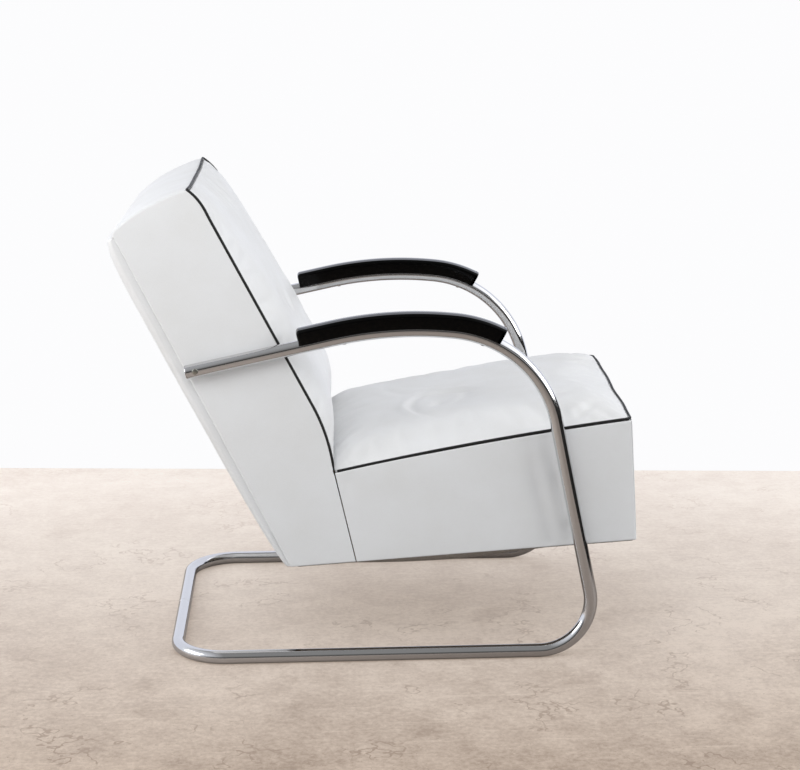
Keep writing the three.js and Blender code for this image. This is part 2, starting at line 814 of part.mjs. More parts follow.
function seatCushion() {
  const frontX = seatLength - pipingDiameter - gap;
  const cornerRadius = seatPipingCorner - pipingRadius - gap;
  const creaseGap = 3;
  const rollLength = 30; // the stretch over which it comes up from the crease
  const rearX = seamX(seatRearHeight) + pipingRadius + gap;
  const creaseShare = 0.3;
  const frontShare = 0.82;
  const drawIn = 2;
  const lean = Math.tan(backRecline - seatPitch) / 2;
  return crownedPad(16, 16, [1 / 2, 0], (u, v, level) => {
    const rear = rearX + creaseGap + loinCrown * crownShare(u);
    const x = rear + (frontX - rear) * v;
    const edgeOn = v > 1 / 2 ? crownShare(2 * v - 1) : 1;
    const fall = v > 1 / 2 ? 1 - (1 - frontShare) * (2 * v - 1) : 1;
    const roll = Math.sin(Math.min(1, (x - rear) / rollLength) * quarter);
    const risen = creaseShare + (1 - creaseShare) * roll;
    const crown = seatCrown * crownShare(u) * edgeOn * fall * risen;
    const top = pipingHeight(x) + crown;
    const z = padFloor(x) + (top - padFloor(x)) * level;
    const pull = drawIn * Math.sin(Math.PI * level);
    const back = v === 0 ? lean * (z - seatRearHeight) : 0;
    const outX = x - (v === 1 ? pull : 0) - Math.max(0, back);
    const [softX, y] = softened(outX, u * (padHalfWidth - pull), frontX, padHalfWidth, cornerRadius);
    return [softX, y, z];
  });
}

// The front panel swells by its crown between its four edges.
function frontPanel() {
  const top = seatFrontHeight - pipingRadius - gap;
  return crownedPad(12, 8, [0], (u, v, level) => {
    const swell = frontPanelCrown * crownShare(u) * crownShare(2 * v - 1);
    const x = seatLength - coverThickness + (coverThickness + swell) * level;
    return [x, u * halfWidth, v * top];
  });
}

function seatPiping() {
  const rearX = seamX(seatRearHeight) + pipingDiameter + gap;
  const frontX = seatLength - pipingRadius - seatPipingCorner;
  const sidePiece = tracedPiece((share) => {
    const x = rearX + (frontX - rearX) * share;
    return new THREE.Vector3(x, -pipingY, pipingHeight(x));
  }, 8);
  const at = endOf(sidePiece);
  const across = new THREE.Vector3(0, 1, 0);
  const corner = arcPiece(at.point, at.direction, across, seatPipingCorner, quarter, 4);
  const front = straightPiece(corner.point(1), across, 2 * (pipingY - seatPipingCorner));
  const path = new BentPath([sidePiece, corner, front, mirroredBack(corner), mirroredBack(sidePiece)]);
  return sweep(cornered(pipingRadius, pipingSides), path);
}

function addSeat() {
  const half = boardOuterY;
  const frontHalf = boardInnerY - gap;
  const rearHalf = frontHalf - plateThickness - gap;
  const rearRail = seatCrossRail(rearRailX, rearRailX + boardThickness, rearHalf);
  place(seatGroup, "seat_rail_rear", rearRail, "wood");
  const frontRail = seatCrossRail(frontInnerX - boardThickness, frontInnerX, frontHalf);
  const pockets = sides.flatMap(({ sign }) => boltPockets(sign));
  place(seatGroup, "seat_rail_front", cut(frontRail, pockets), "wood");
  for (const { name, sign } of sides) {
    place(seatGroup, `seat_rail_${name}`, seatSideRail(sign), "wood");
    place(seatGroup, `seat_block_${name}_rear`, cornerBlock(sign, true), "wood");
    place(seatGroup, `seat_block_${name}_front`, cornerBlock(sign, false), "wood");
    const panel = sideSlab(seatSidePanelOutline(), sign, panelInnerY, halfWidth);
    const holeRadius = seatBoltRadius + screwClearance;
    const holes = boltHolesInSeat(sign, holeRadius, panelInnerY - overrun, halfWidth + overrun);
    place(seatGroup, `seat_panel_${name}`, cut(panel, holes), "cover");
  }
  place(seatGroup, "seat_panel_front", frontPanel(), "cover");
  const straps = webbing(gap, frontInnerX, half, seatStrapsAlong, seatStrapsAcross);
  place(seatGroup, "seat_webbing", straps, "webbing").position.z = webbingFoot;
  const dust = block(bottomRearX, frontInnerX, -half, half, 0, dustCoverThickness);
  place(seatGroup, "seat_dust_cover", dust, "cloth");
  place(seatGroup, "seat_cushion", seatCushion(), "cover");
  place(seatGroup, "seat_piping", seatPiping(), "piping");
}

// The back

const seamFoot = seatToBack([0, 0]);
const seamTop = seatToBack([-seatRearReach, seatRearHeight]);
const crestFront = backRise - crestDrop;
const rearX = -backDepth;

// The front edge of the back: straight, drawn back at its foot to meet the seat and at its crest.
function frontEdge(z) {
  if (z < loinBendTop) {
    const share = (loinBendTop - z) / (loinBendTop - seamTop[1]);
    return seamTop[0] * share * share;
  }
  const share = Math.max(0, (z - (crestFront - crestBendLength)) / crestBendLength);
  return -crestSetback * share * share;
}

// Where the underside of the seat, run on to the rear, stands at a given depth of the back.
function undersideAt(x) {
  const [footX, footZ] = seatToBack([-seatLength, 0]);
  const share = (x - seamFoot[0]) / (footX - seamFoot[0]);
  return seamFoot[1] + (footZ - seamFoot[1]) * share;
}

// The rear end of the dust cover, in the seat's frame, inside the rear panel.
const bottomRearX = (() => {
  const inner = rearX + coverThickness + gap;
  const [footX] = seatToBack([-seatLength, 0]);
  return (-seatLength * (inner - seamFoot[0])) / (footX - seamFoot[0]) + dustCoverThickness;
})();

// The top of the back from its front edge to its rear corner, drawn in by inset.
function topCurve(inset) {
  const frontX = -crestSetback - pipingRadius - gap;
  const flatEndX = rearX + rearCornerRadius;
  const middle = (frontX + flatEndX) / 2;
  const half = (frontX - flatEndX) / 2;
  const domeSteps = 8;
  const cornerSteps = 3;
  const points = [];
  for (let i = 0; i <= domeSteps; i += 1) {
    const x = frontX + ((flatEndX - frontX) * i) / domeSteps;
    points.push([x, backRise - crestDrop * ((x - middle) / half) ** 2 - inset]);
  }
  for (let i = 1; i <= cornerSteps; i += 1) {
    const angle = (i / cornerSteps) * quarter;
    const radius = rearCornerRadius - inset;
    const x = flatEndX - radius * Math.sin(angle);
    points.push([x, crestFront - inset - radius * (1 - Math.cos(angle))]);
  }
  return points;
}

// Points along that edge, set in from it by inset.
function frontEdgePoints(fromZ, toZ, inset, steps) {
  return Array.from({ length: steps + 1 }, (_, i) => {
    const z = fromZ + ((toZ - fromZ) * i) / steps;
    const slope = (frontEdge(z + gap) - frontEdge(z - gap)) / (2 * gap);
    return [frontEdge(z) - inset * Math.hypot(1, slope), z];
  });
}

const loinSteps = 5;
const crestSteps = 3;
const crestBendZ = crestFront - crestBendLength;

function backSidePanelOutline() {
  const inset = pipingRadius + 2 * gap;
  const under = topCurve(coverThickness + gap);
  const crestZ = under[0][1];
  const bottomX = rearX + coverThickness + gap;
  return [
    seamFoot,
    ...frontEdgePoints(seamTop[1], loinBendTop, inset, loinSteps),
    ...frontEdgePoints(crestBendZ, crestZ, inset, crestSteps),
    ...under,
    [bottomX, undersideAt(bottomX)],
  ];
}

function backTopPanel() {
  const outer = topCurve(0);
  const inner = topCurve(coverThickness).reverse();
  return slab([...outer, ...inner], -halfWidth, halfWidth);
}

// The rear panel swells to the rear between its side seams, its top edge and the underside.
function backRearPanel() {
  const top = crestFront - rearCornerRadius - gap;
  const foot = undersideAt(rearX + coverThickness);
  const tightnessShare = 0.3;
  return crownedPad(12, 14, [0], (u, v, level) => {
    const z = foot + (top - foot) * v;
    const swell = rearPanelCrown * crownShare(u, tightnessShare) * crownShare(2 * v - 1, tightnessShare);
    return [rearX + coverThickness - (coverThickness + swell) * level, u * halfWidth, z];
  });
}

function backCushion() {
  const footZ = seamTop[1] + pipingRadius;
  const topZ = backPipingPieces().corner.point(1).z - pipingRadius - gap;
  const underTop = coverThickness - pipingRadius;
  const drawIn = 2;
  const thinningShare = 0.35;
  const edgeShare = 0.9;
  return crownedPad(16, 18, [edgeShare, 1 / 2, 0], (u, v, level) => {
    const z = footZ + (topZ - footZ) * v;
    const edgeOn = v > 1 / 2 ? crownShare(2 * v - 1) : 1;
    const thin = v > 1 / 2 ? 1 - thinningShare * (2 * v - 1) : 1;
    const floor = -backPadDepth;
    const crown = loinCrown + (backCrown - loinCrown) * Math.sin(Math.min(1, 2 * v) * quarter);
    const front = frontEdge(z) + crown * crownShare(u) * edgeOn * thin;
    const pull = drawIn * Math.sin(Math.PI * level);
    const x = floor + (front - floor) * level;
    const drop = v === 1 && level < 1 ? underTop + pull : 0;
    const halfHere = u * (padHalfWidth - pull);
    const [softZ, y] = softened(z, halfHere, topZ, padHalfWidth, backPipingCorner);
    return [x, y, softZ - drop];
  });
}

function backPipingPieces() {
  const edgePiece = (fromZ, toZ, steps) =>
    tracedPiece((share) => {
      const z = fromZ + (toZ - fromZ) * share;
      return new THREE.Vector3(frontEdge(z), -pipingY, z);
    }, steps);
  const loin = edgePiece(seamTop[1], loinBendTop, loinSteps);
  const rise = edgePiece(loinBendTop, crestBendZ, 1);
  const crest = edgePiece(crestBendZ, crestFront - backPipingCorner, crestSteps);
  const at = endOf(crest);
  const across = new THREE.Vector3(0, 1, 0);
  const corner = arcPiece(at.point, at.direction, across, backPipingCorner, quarter, 4);
  return { loin, rise, crest, corner };
}

function backPiping() {
  const pieces = Object.values(backPipingPieces());
  const { point, direction } = endOf(pieces[pieces.length - 1]);
  const top = straightPiece(point, direction, -2 * point.y);
  const path = new BentPath([...pieces, top, ...pieces.slice().reverse().map(mirroredBack)]);
  return sweep(cornered(pipingRadius, pipingSides), path);
}

const stileFrontX = -backPadDepth - webbingThickness - 2 * gap;

// The side board of the back, cut at its foot along the underside and the seam with the seat.
function backStile(sign) {
  const inset = coverThickness + 2 * gap;
  const under = topCurve(inset).filter(([x]) => x < stileFrontX);
  const foot = boardFoot;
  const footFront = seatToBack([seamX(foot) - gap, foot]);
  const waist = seatToBack([seamX(seatRearHeight) - gap, seatRearHeight]);
  const outline = [
    footFront,
    [stileFrontX, waist[1]],
    [stileFrontX, under[0][1]],
    ...under,
    [rearX + inset, undersideAt(rearX + inset) + foot / Math.cos(backRecline - seatPitch)],
  ];
  const stile = sideSlab(outline, sign, boardInnerY, boardOuterY);
  const nearY = sign < 0 ? -boardOuterY - overrun : boardOuterY - backScrewGrip - gap;
  const farY = sign < 0 ? -boardOuterY + backScrewGrip + gap : boardOuterY + overrun;
  const hole = rodAlongY(backScrewRadius + screwClearance, nearY, farY, ...intoBack(backScrewSpot()));
  return cut(stile, [hole]);
}

const backRailHeight = 55;
const middleRailShare = 0.42;
const topRailShare = 0.93;

// A rail between the stiles: the bottom one lies inside the rear panel, the others behind the webbing.
function backCrossRail(frontX, centre) {
  const half = boardInnerY - gap;
  const low = centre - backRailHeight / 2;
  const high = centre + backRailHeight / 2;
  return block(frontX - boardThickness, frontX, -half, half, low, high);
}

function backRails() {
  const foot = undersideAt(stileFrontX);
  const railAt = (share) => backCrossRail(stileFrontX, foot + (crestFront - foot) * share);
  const bottomFrontX = rearX + coverThickness + gap + boardThickness;
  const centre = undersideAt(bottomFrontX - boardThickness) + boardFoot + backRailHeight;
  return [
    ["top", railAt(topRailShare)],
    ["middle", railAt(middleRailShare)],
    ["bottom", backCrossRail(bottomFrontX, centre)],
  ];
}

// A steel plate on the inner faces, from the stile of the back to the side rail of the seat.
function jointPlate(sign) {
  const outer = boardInnerY - gap;
  const inner = outer - plateThickness;
  const nearY = sign < 0 ? -outer : inner;
  const farY = sign < 0 ? -inner : outer;
  const rearX = seamX(plateFoot) - plateLength / 2;
  return block(rearX, rearX + plateLength, nearY, farY, plateFoot, plateFoot + plateHeight);
}

function addBack() {
  for (const { name, sign } of sides) {
    place(backGroup, `back_stile_${name}`, backStile(sign), "wood");
    const panel = sideSlab(backSidePanelOutline(), sign, panelInnerY, halfWidth);
    const nearY = sign < 0 ? -halfWidth - overrun : panelInnerY - overrun;
    const farY = sign < 0 ? -panelInnerY + overrun : halfWidth + overrun;
    const screwAt = intoBack(backScrewSpot());
    const hole = rodAlongY(backScrewRadius + screwClearance, nearY, farY, ...screwAt);
    place(backGroup, `back_panel_${name}`, cut(panel, [hole]), "cover");
    place(seatGroup, `joint_plate_${name}`, jointPlate(sign), "steel");
  }
  for (const [name, rail] of backRails()) place(backGroup, `back_rail_${name}`, rail, "wood");
  const strapTop = crestFront - crestBendLength;
  const straps = webbing(seamTop[1], strapTop, boardOuterY, backStrapsAlong, backStrapsAcross);
  const laid = place(backGroup, "back_webbing", straps, "webbing");
  laid.rotation.y = -quarter;
  laid.position.x = -backPadDepth - gap;
  place(backGroup, "back_panel_top", backTopPanel(), "cover");
  place(backGroup, "back_panel_rear", backRearPanel(), "cover");
  place(backGroup, "back_cushion", backCushion(), "cover");
  place(backGroup, "back_piping", backPiping(), "piping");
}

// The origin stands on the floor, under the middle of the whole chair.
function centreOnFloor() {
  chair.updateMatrixWorld(true);
  const box = new THREE.Box3().setFromObject(model, true);
  model.position.x = -(box.min.x + box.max.x) / 2;
}

addFrame();
addSeat();
addBack();
centreOnFloor();

export default chair;
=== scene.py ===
import json
import math

import bmesh
import bpy
import numpy as np
from mathutils import Matrix, Vector, noise


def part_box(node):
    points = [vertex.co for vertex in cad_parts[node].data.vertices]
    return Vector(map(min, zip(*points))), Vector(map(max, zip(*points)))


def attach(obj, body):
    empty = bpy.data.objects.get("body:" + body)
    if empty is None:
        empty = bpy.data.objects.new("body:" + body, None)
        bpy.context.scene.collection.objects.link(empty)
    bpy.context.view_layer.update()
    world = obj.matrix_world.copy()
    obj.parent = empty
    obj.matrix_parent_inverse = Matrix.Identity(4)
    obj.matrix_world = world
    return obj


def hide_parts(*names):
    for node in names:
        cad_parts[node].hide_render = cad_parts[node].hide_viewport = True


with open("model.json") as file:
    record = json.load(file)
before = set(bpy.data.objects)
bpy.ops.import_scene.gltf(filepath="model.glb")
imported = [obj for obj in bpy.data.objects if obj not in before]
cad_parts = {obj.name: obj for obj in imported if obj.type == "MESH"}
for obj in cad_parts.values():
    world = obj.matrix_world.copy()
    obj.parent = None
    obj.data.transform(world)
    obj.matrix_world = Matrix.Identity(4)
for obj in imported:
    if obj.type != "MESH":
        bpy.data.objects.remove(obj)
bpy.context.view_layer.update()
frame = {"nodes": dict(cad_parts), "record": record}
cadNodes = frame["nodes"]
metre = 0.001  # every size below is in millimetres
quarter = math.pi / 2
print("frame loaded:", len(cadNodes), "nodes")

# The sizes that the pieces share, as the solids have them
tube = {
    "radius": 12.0, "wall": 2.0, "centreY": 282.0, "floorBend": 92.0, "floorBar": 556.0,
    "legLean": math.radians(11.5), "leg": 316.0, "shoulderBend": 206.0, "shoulderTurn": math.radians(72),
    "armBend": 650.0, "armTurn": math.radians(18.5), "tail": 258.0,
}
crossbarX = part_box("frame_tube_right")[0].x / metre + tube["radius"]
seat = {
    "x": crossbarX + 324.02, "z": 177.94, "pitch": math.radians(3.5), "length": 500.0, "frontHeight": 224.0,
    "rearHeight": 168.0, "rearReach": 27.0, "pipingBow": 6.0, "padDepth": 45.0, "crown": 39.0,
}
back = {
    "x": crossbarX + 265.02, "z": 436.94, "pitch": math.radians(27.3), "rise": 467.0, "depth": 170.0,
    "crestDrop": 10.0, "crestSetback": 12.5, "crestBend": 46.0, "loinTop": 30.0,
    "padDepth": 45.0, "crown": 27.0, "loinCrown": 18.0, "rearCrown": 28.0,
}
halfWidth = 264.0
coverDepth = 5.0
pipingRadius = 2.5
clearance = 0.3


def lerp(a, b, t):
    return a + (b - a) * t


def smooth(t):
    t = np.clip(t, 0, 1)
    return t * t * (3 - 2 * t)


def ramp(x, start, reach):
    # rises softly from 0 at the start to 1 a reach further on
    return smooth((x - start) / reach)


def bump(x, centre, width):
    return np.exp(-((x - centre) / width) ** 2)


# hand upholstery is never quite true: the back's top leans and its corners stand up a little,
# and the far front corner of the seat reaches forward
settled = {
    "backNear": 1.5, "backFar": -1.5, "backFrom": 270.0, "cornerLift": 4.5, "cornerSink": 2.5, "seatFar": 8.4,
    # where each starts and how far it takes to its full size
    "crestX": (-75.0, 65.0), "crestZ": (395.0, 60.0), "sinkY": (140.0, 120.0), "liftY": (120.0, 130.0),
    "liftMiddle": -30.0, "seatX": (330.0, 150.0),
}


def outOf(group, points):
    # from the frame of the seat or the back to the chair's own
    points = np.asarray(points, float)
    c, s = math.cos(group["pitch"]), math.sin(group["pitch"])
    x, y, z = points[..., 0], points[..., 1], points[..., 2]
    toFar = smooth((y + halfWidth) / (2 * halfWidth))
    if group is back:
        crest = ramp(x, *settled["crestX"]) * ramp(z, *settled["crestZ"])
        sunk = settled["cornerSink"] * crest * ramp(y, *settled["sinkY"])
        tilt = lerp(settled["backNear"], settled["backFar"], toFar)
        z = z + tilt * ramp(z, settled["backFrom"], back["rise"] - settled["backFrom"])
        lifted = settled["cornerLift"] * crest * ramp(np.abs(y - settled["liftMiddle"]), *settled["liftY"])
        z = z + lifted - 0.5 * sunk
        x = x + 0.5 * lifted - sunk
    else:
        reach = settled["seatFar"] * toFar ** 2 * ramp(x, *settled["seatX"])
        x = x + reach * np.clip(z / group["frontHeight"], 0, 1)
    return np.stack([group["x"] + x * c - z * s, y, group["z"] + x * s + z * c], -1)


def into(group, x, z):
    c, s = math.cos(group["pitch"]), math.sin(group["pitch"])
    dx, dz = x - group["x"], z - group["z"]
    return dx * c + dz * s, dz * c - dx * s


def pieceFrom(name, points, faces, material, replaced=(), sharpAbove=40):
    mesh = bpy.data.meshes.new(name)
    mesh.from_pydata((np.asarray(points, float).reshape(-1, 3) * metre).tolist(), [], faces)
    mesh.validate()
    made = bpy.data.objects.new(name, mesh)
    bpy.context.scene.collection.objects.link(made)
    work = bmesh.new()
    work.from_mesh(mesh)
    bmesh.ops.remove_doubles(work, verts=work.verts, dist=1e-6)
    bmesh.ops.recalc_face_normals(work, faces=work.faces)
    work.to_mesh(mesh)
    work.free()
    mesh.shade_smooth()
    mesh.set_sharp_from_angle(angle=math.radians(sharpAbove))
    mesh.materials.append(material)
    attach(made, "root")
    if replaced:
        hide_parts(*replaced)
    return made


def gridFaces(rows, columns, start=0, flip=False, wrap=False):
    faces = []
    for j in range(rows - 1):
        for i in range(columns if wrap else columns - 1):
            a, b = start + j * columns + i, start + j * columns + (i + 1) % columns
            quad = (a, b, b + columns, a + columns)
            faces.append(quad[::-1] if flip else quad)
    return faces


def capFaces(count, total, start=0):
    # closes the first and the last ring of a sweep
    return [tuple(range(start, start + count))[::-1], tuple(range(total - count, total))]


def rimOf(rows, columns):
    rim = [(0, i) for i in range(columns - 1)] + [(j, columns - 1) for j in range(rows - 1)]
    return rim + [(rows - 1, i) for i in range(columns - 1, 0, -1)] + [(j, 0) for j in range(rows - 1, 0, -1)]


def shell(face, depthPoint, levels=(0.66, 0.33, 0.0)):
    # a closed pad: a grid of points for its face, and a function that sinks a rim point to a level
    rows, columns = face.shape[:2]
    rim = rimOf(rows, columns)
    points = [face.reshape(-1, 3)]
    faces = gridFaces(rows, columns)
    above = [j * columns + i for j, i in rim]
    total = rows * columns
    for level in levels[:-1]:
        points.append(np.array([depthPoint(j, i, level) for j, i in rim]))
        below = list(range(total, total + len(rim)))
        faces += [(above[k - 1], above[k], below[k], below[k - 1]) for k in range(len(rim))]
        above, total = below, total + len(rim)
    floor = np.array([[depthPoint(j, i, levels[-1]) for i in range(columns)] for j in range(rows)])
    points.append(floor.reshape(-1, 3))
    faces += gridFaces(rows, columns, start=total, flip=True)
    below = [total + j * columns + i for j, i in rim]
    faces += [(above[k - 1], above[k], below[k], below[k - 1]) for k in range(len(rim))]
    return np.concatenate(points), faces


def turnedPiece(name, profile, at, axis, material, replaced=()):
    # a profile of [radius, height] points turned round an axis that leaves the point at
    turn = Vector(axis).normalized().to_track_quat("Z", "Y").to_matrix()
    points, sides = [], 40
    for radius, height in profile:
        for k in range(sides):
            angle = 2 * math.pi * k / sides
            spot = turn @ Vector((radius * math.cos(angle), radius * math.sin(angle), height))
            points.append([at[0] + spot.x, at[1] + spot.y, at[2] + spot.z])
    faces = gridFaces(len(profile), sides, wrap=True) + capFaces(sides, len(points))
    return pieceFrom(name, points, faces, material, replaced, 35)


def ripple(x, y, z, scale, seed=0.0):
    # soft noise over arrays, in -1 to 1
    flat = np.broadcast_arrays(x, y, z)
    shape = flat[0].shape
    spots = np.stack([f.ravel() for f in flat], -1) / scale + seed
    return np.array([noise.noise(Vector(p)) for p in spots]).reshape(shape)


def newGroup(name, inputs, outputs):
    group = bpy.data.node_groups.new(name, "ShaderNodeTree")
    for label, value in inputs.items():
        socket = group.interface.new_socket(label, in_out="INPUT", socket_type="NodeSocketFloat")
        socket.default_value = value
    for label in outputs:
        group.interface.new_socket(label, in_out="OUTPUT", socket_type="NodeSocketFloat")
    return group, group.nodes.new("NodeGroupInput"), group.nodes.new("NodeGroupOutput")


class Wiring:
    # short words for making and joining the nodes of one tree
    def __init__(self, tree):
        self.tree = tree

    def node(self, kind, **values):
        made = self.tree.nodes.new("ShaderNode" + kind)
        for key, value in values.items():
            setattr(made, key, value)
        return made

    def join(self, source, target):
        self.tree.links.new(source, target)

    def feed(self, target, value):
        if isinstance(value, bpy.types.NodeSocket):
            self.join(value, target)
        else:
            target.default_value = value

    def math(self, operation, a, b=0.0):
        made = self.node("Math", operation=operation)
        self.feed(made.inputs[0], a)
        self.feed(made.inputs[1], b)
        return made.outputs[0]

    def times(self, a, b):
        return self.math("MULTIPLY", a, b)

    def plus(self, a, b):
        return self.math("ADD", a, b)

    def remap(self, value, low, high, toLow=0.0, toHigh=1.0):
        made = self.node("MapRange", clamp=True)
        for index, item in enumerate((value, low, high, toLow, toHigh)):
            self.feed(made.inputs[index], item)
        return made.outputs[0]

    def noise(self, where, scale, detail=3.0, roughness=0.5):
        made = self.node("TexNoise")
        self.join(where, made.inputs["Vector"])
        self.feed(made.inputs["Scale"], scale)
        made.inputs["Detail"].default_value = detail
        made.inputs["Roughness"].default_value = roughness
        return made.outputs[0]

    def mix(self, share, a, b, how="MIX"):
        made = self.node("Mix", data_type="RGBA", blend_type=how)
        for index, item in ((0, share), (6, a), (7, b)):
            self.feed(made.inputs[index], item)
        return made.outputs[2]

    def here(self):
        return self.node("TexCoord").outputs["Object"]

    def axes(self, vector):
        apart = self.node("SeparateXYZ")
        self.join(vector, apart.inputs[0])
        return apart.outputs

    def blend(self, share, first, second):
        # two surfaces mixed
        made = self.node("MixShader")
        for index, item in enumerate((share, first, second)):
            self.join(item, made.inputs[index])
        return made.outputs[0]

    def show(self, surface):
        leave = [n for n in self.tree.nodes if n.type == "OUTPUT_MATERIAL"][0]
        self.join(surface, leave.inputs["Surface"])


def grainGroup():
    # pebbled grain of coated leather: cells with creases between them, and a finer second grain
    group, entry, leave = newGroup("leatherGrain", {"Cell Size": 1.4, "Unevenness": 0.5},
                                   ("Height", "Creases", "Blotches"))
    w = Wiring(group)
    where = w.here()
    scale = w.math("DIVIDE", 1000.0, entry.outputs["Cell Size"])
    warp = w.noise(where, w.times(scale, 0.6), 2.0)
    shifted = w.node("VectorMath", operation="MULTIPLY_ADD")
    w.join(warp, shifted.inputs[0])
    shifted.inputs[1].default_value = (0.0012, 0.0012, 0.0012)
    w.join(where, shifted.inputs[2])
    cells = w.node("TexVoronoi", feature="DISTANCE_TO_EDGE")
    w.join(shifted.outputs[0], cells.inputs["Vector"])
    w.join(scale, cells.inputs["Scale"])
    creases = w.remap(cells.outputs["Distance"], 0.0, 0.16, 1.0, 0.0)
    fine = w.noise(where, w.times(scale, 3.1), 2.0)
    broad = w.noise(where, 55.0, 4.0, 0.6)
    height = w.math("SUBTRACT", w.times(fine, 0.35), creases)
    patchy = w.times(w.math("SUBTRACT", broad, 0.5), entry.outputs["Unevenness"])
    w.join(w.plus(height, patchy), leave.inputs["Height"])
    w.join(creases, leave.inputs["Creases"])
    w.join(w.noise(where, 9.0, 5.0, 0.62), leave.inputs["Blotches"])
    return group


def wearGroup():
    # a mask of worn edges and one of dust that has settled on what faces up
    group, entry, leave = newGroup("surfaceWear", {"Edge Width": 0.5, "Dust": 0.3},
                                   ("Edges", "Dust", "Smears"))
    w = Wiring(group)
    geometry = w.node("NewGeometry")
    where = w.here()
    broken = w.noise(where, 160.0, 4.0, 0.65)
    edgeEnd = w.plus(0.5, w.times(0.2, entry.outputs["Edge Width"]))
    sharp = w.remap(geometry.outputs["Pointiness"], 0.5, edgeEnd)
    w.join(w.times(sharp, w.remap(broken, 0.42, 0.62)), leave.inputs["Edges"])
    lying = w.remap(w.axes(geometry.outputs["Normal"])["Z"], 0.2, 0.95)
    specks = w.remap(w.noise(where, 900.0, 2.0), 0.55, 0.75)
    w.join(w.times(w.times(lying, specks), entry.outputs["Dust"]), leave.inputs["Dust"])
    w.join(w.remap(w.noise(where, 26.0, 5.0, 0.6), 0.38, 0.68), leave.inputs["Smears"])
    return group


leatherGrain = grainGroup()
surfaceWear = wearGroup()


def newMaterial(name):
    material = bpy.data.materials.new(name)
    material.use_nodes = True
    shader = material.node_tree.nodes["Principled BSDF"]
    return material, Wiring(material.node_tree), shader


def fix(node, values):
    for key, value in values.items():
        node.inputs[key].default_value = value


def placed(w, group, values):
    made = w.node("Group")
    made.node_tree = group
    fix(made, values)
    return made.outputs


def bumped(w, shader, height, strength, distance):
    made = w.node("Bump")
    fix(made, {"Strength": strength, "Distance": distance * metre})
    w.join(height, made.inputs["Height"])
    w.join(made.outputs[0], shader.inputs["Normal"])


def leatherMaterial(name, colour, aged, roughness, cellSize, depth):
    material, w, shader = newMaterial(name)
    grain = placed(w, leatherGrain, {"Cell Size": cellSize})
    wear = placed(w, surfaceWear, {"Edge Width": 0.6, "Dust": 0.25})
    tone = w.mix(w.remap(grain["Blotches"], 0.35, 0.7), colour, aged)
    creased = w.mix(w.times(grain["Creases"], 0.10), tone, [c * 0.55 for c in aged[:3]] + [1])
    w.join(w.mix(w.times(wear["Smears"], 0.05), creased, aged), shader.inputs["Base Color"])
    rough = w.remap(grain["Blotches"], 0.3, 0.7, roughness - 0.06, roughness + 0.08)
    w.join(w.plus(rough, w.times(grain["Creases"], 0.12)), shader.inputs["Roughness"])
    fix(shader, {"Specular IOR Level": 0.45})
    bumped(w, shader, grain["Height"], 0.35, depth)
    return material


def chromeMaterial():
    material, w, shader = newMaterial("polishedChrome")
    wear = placed(w, surfaceWear, {"Edge Width": 0.4, "Dust": 0.5})
    where = w.here()
    pits = w.remap(w.noise(where, 1400.0, 1.0), 0.71, 0.76)
    patches = w.remap(w.noise(where, 18.0, 3.0), 0.5, 0.62)
    pitted = w.times(pits, patches)
    plated = w.mix(pitted, (0.66, 0.66, 0.665, 1), (0.16, 0.12, 0.09, 1))
    w.join(w.mix(w.times(wear["Dust"], 0.5), plated, (0.5, 0.48, 0.45, 1)), shader.inputs["Base Color"])
    smeared = w.remap(wear["Smears"], 0.0, 1.0, 0.045, 0.13)
    w.join(w.plus(smeared, w.times(pitted, 0.4)), shader.inputs["Roughness"])
    fix(shader, {"Metallic": 1.0})
    hairlines = w.noise(where, 60.0, 6.0, 0.7)
    bumped(w, shader, hairlines, 0.04, 0.3)
    return material


def steelMaterial(name, dark, light):
    material, w, shader = newMaterial(name)
    wear = placed(w, surfaceWear, {"Edge Width": 0.8, "Dust": 0.4})
    where = w.here()
    spangle = w.remap(w.noise(where, 240.0, 3.0), 0.3, 0.7)
    tone = w.mix(spangle, dark, light)
    rubbed = [min(1, c * 1.4) for c in light[:3]] + [1]
    w.join(w.mix(wear["Edges"], tone, rubbed), shader.inputs["Base Color"])
    w.join(w.remap(spangle, 0.0, 1.0, 0.26, 0.42), shader.inputs["Roughness"])
    fix(shader, {"Metallic": 1.0})
    bumped(w, shader, spangle, 0.1, 0.1)
    return material


def lacquerMaterial():
    material, w, shader = newMaterial("blackLacquer")
    wear = placed(w, surfaceWear, {"Edge Width": 0.5, "Dust": 0.35})
    rubbed = w.times(wear["Edges"], 0.25)
    worn = w.mix(rubbed, (0.0011, 0.0011, 0.0012, 1), (0.02, 0.015, 0.011, 1))
    w.join(w.mix(w.times(wear["Dust"], 0.05), worn, (0.35, 0.33, 0.3, 1)), shader.inputs["Base Color"])
    w.join(w.remap(wear["Smears"], 0.0, 1.0, 0.10, 0.20), shader.inputs["Roughness"])
    # the polish shows most where the surface turns away
    turned = w.node("LayerWeight")
    fix(turned, {"Blend": 0.5})
    w.join(w.remap(turned.outputs["Facing"], 0.42, 0.66, 0.05, 1.0), shader.inputs["Coat Weight"])
    fix(shader, {"Coat Roughness": 0.05, "Coat IOR": 1.85, "Specular IOR Level": 0.05})
    orangePeel = w.noise(w.here(), 210.0, 2.0)
    bumped(w, shader, orangePeel, 0.05, 0.3)
    return material


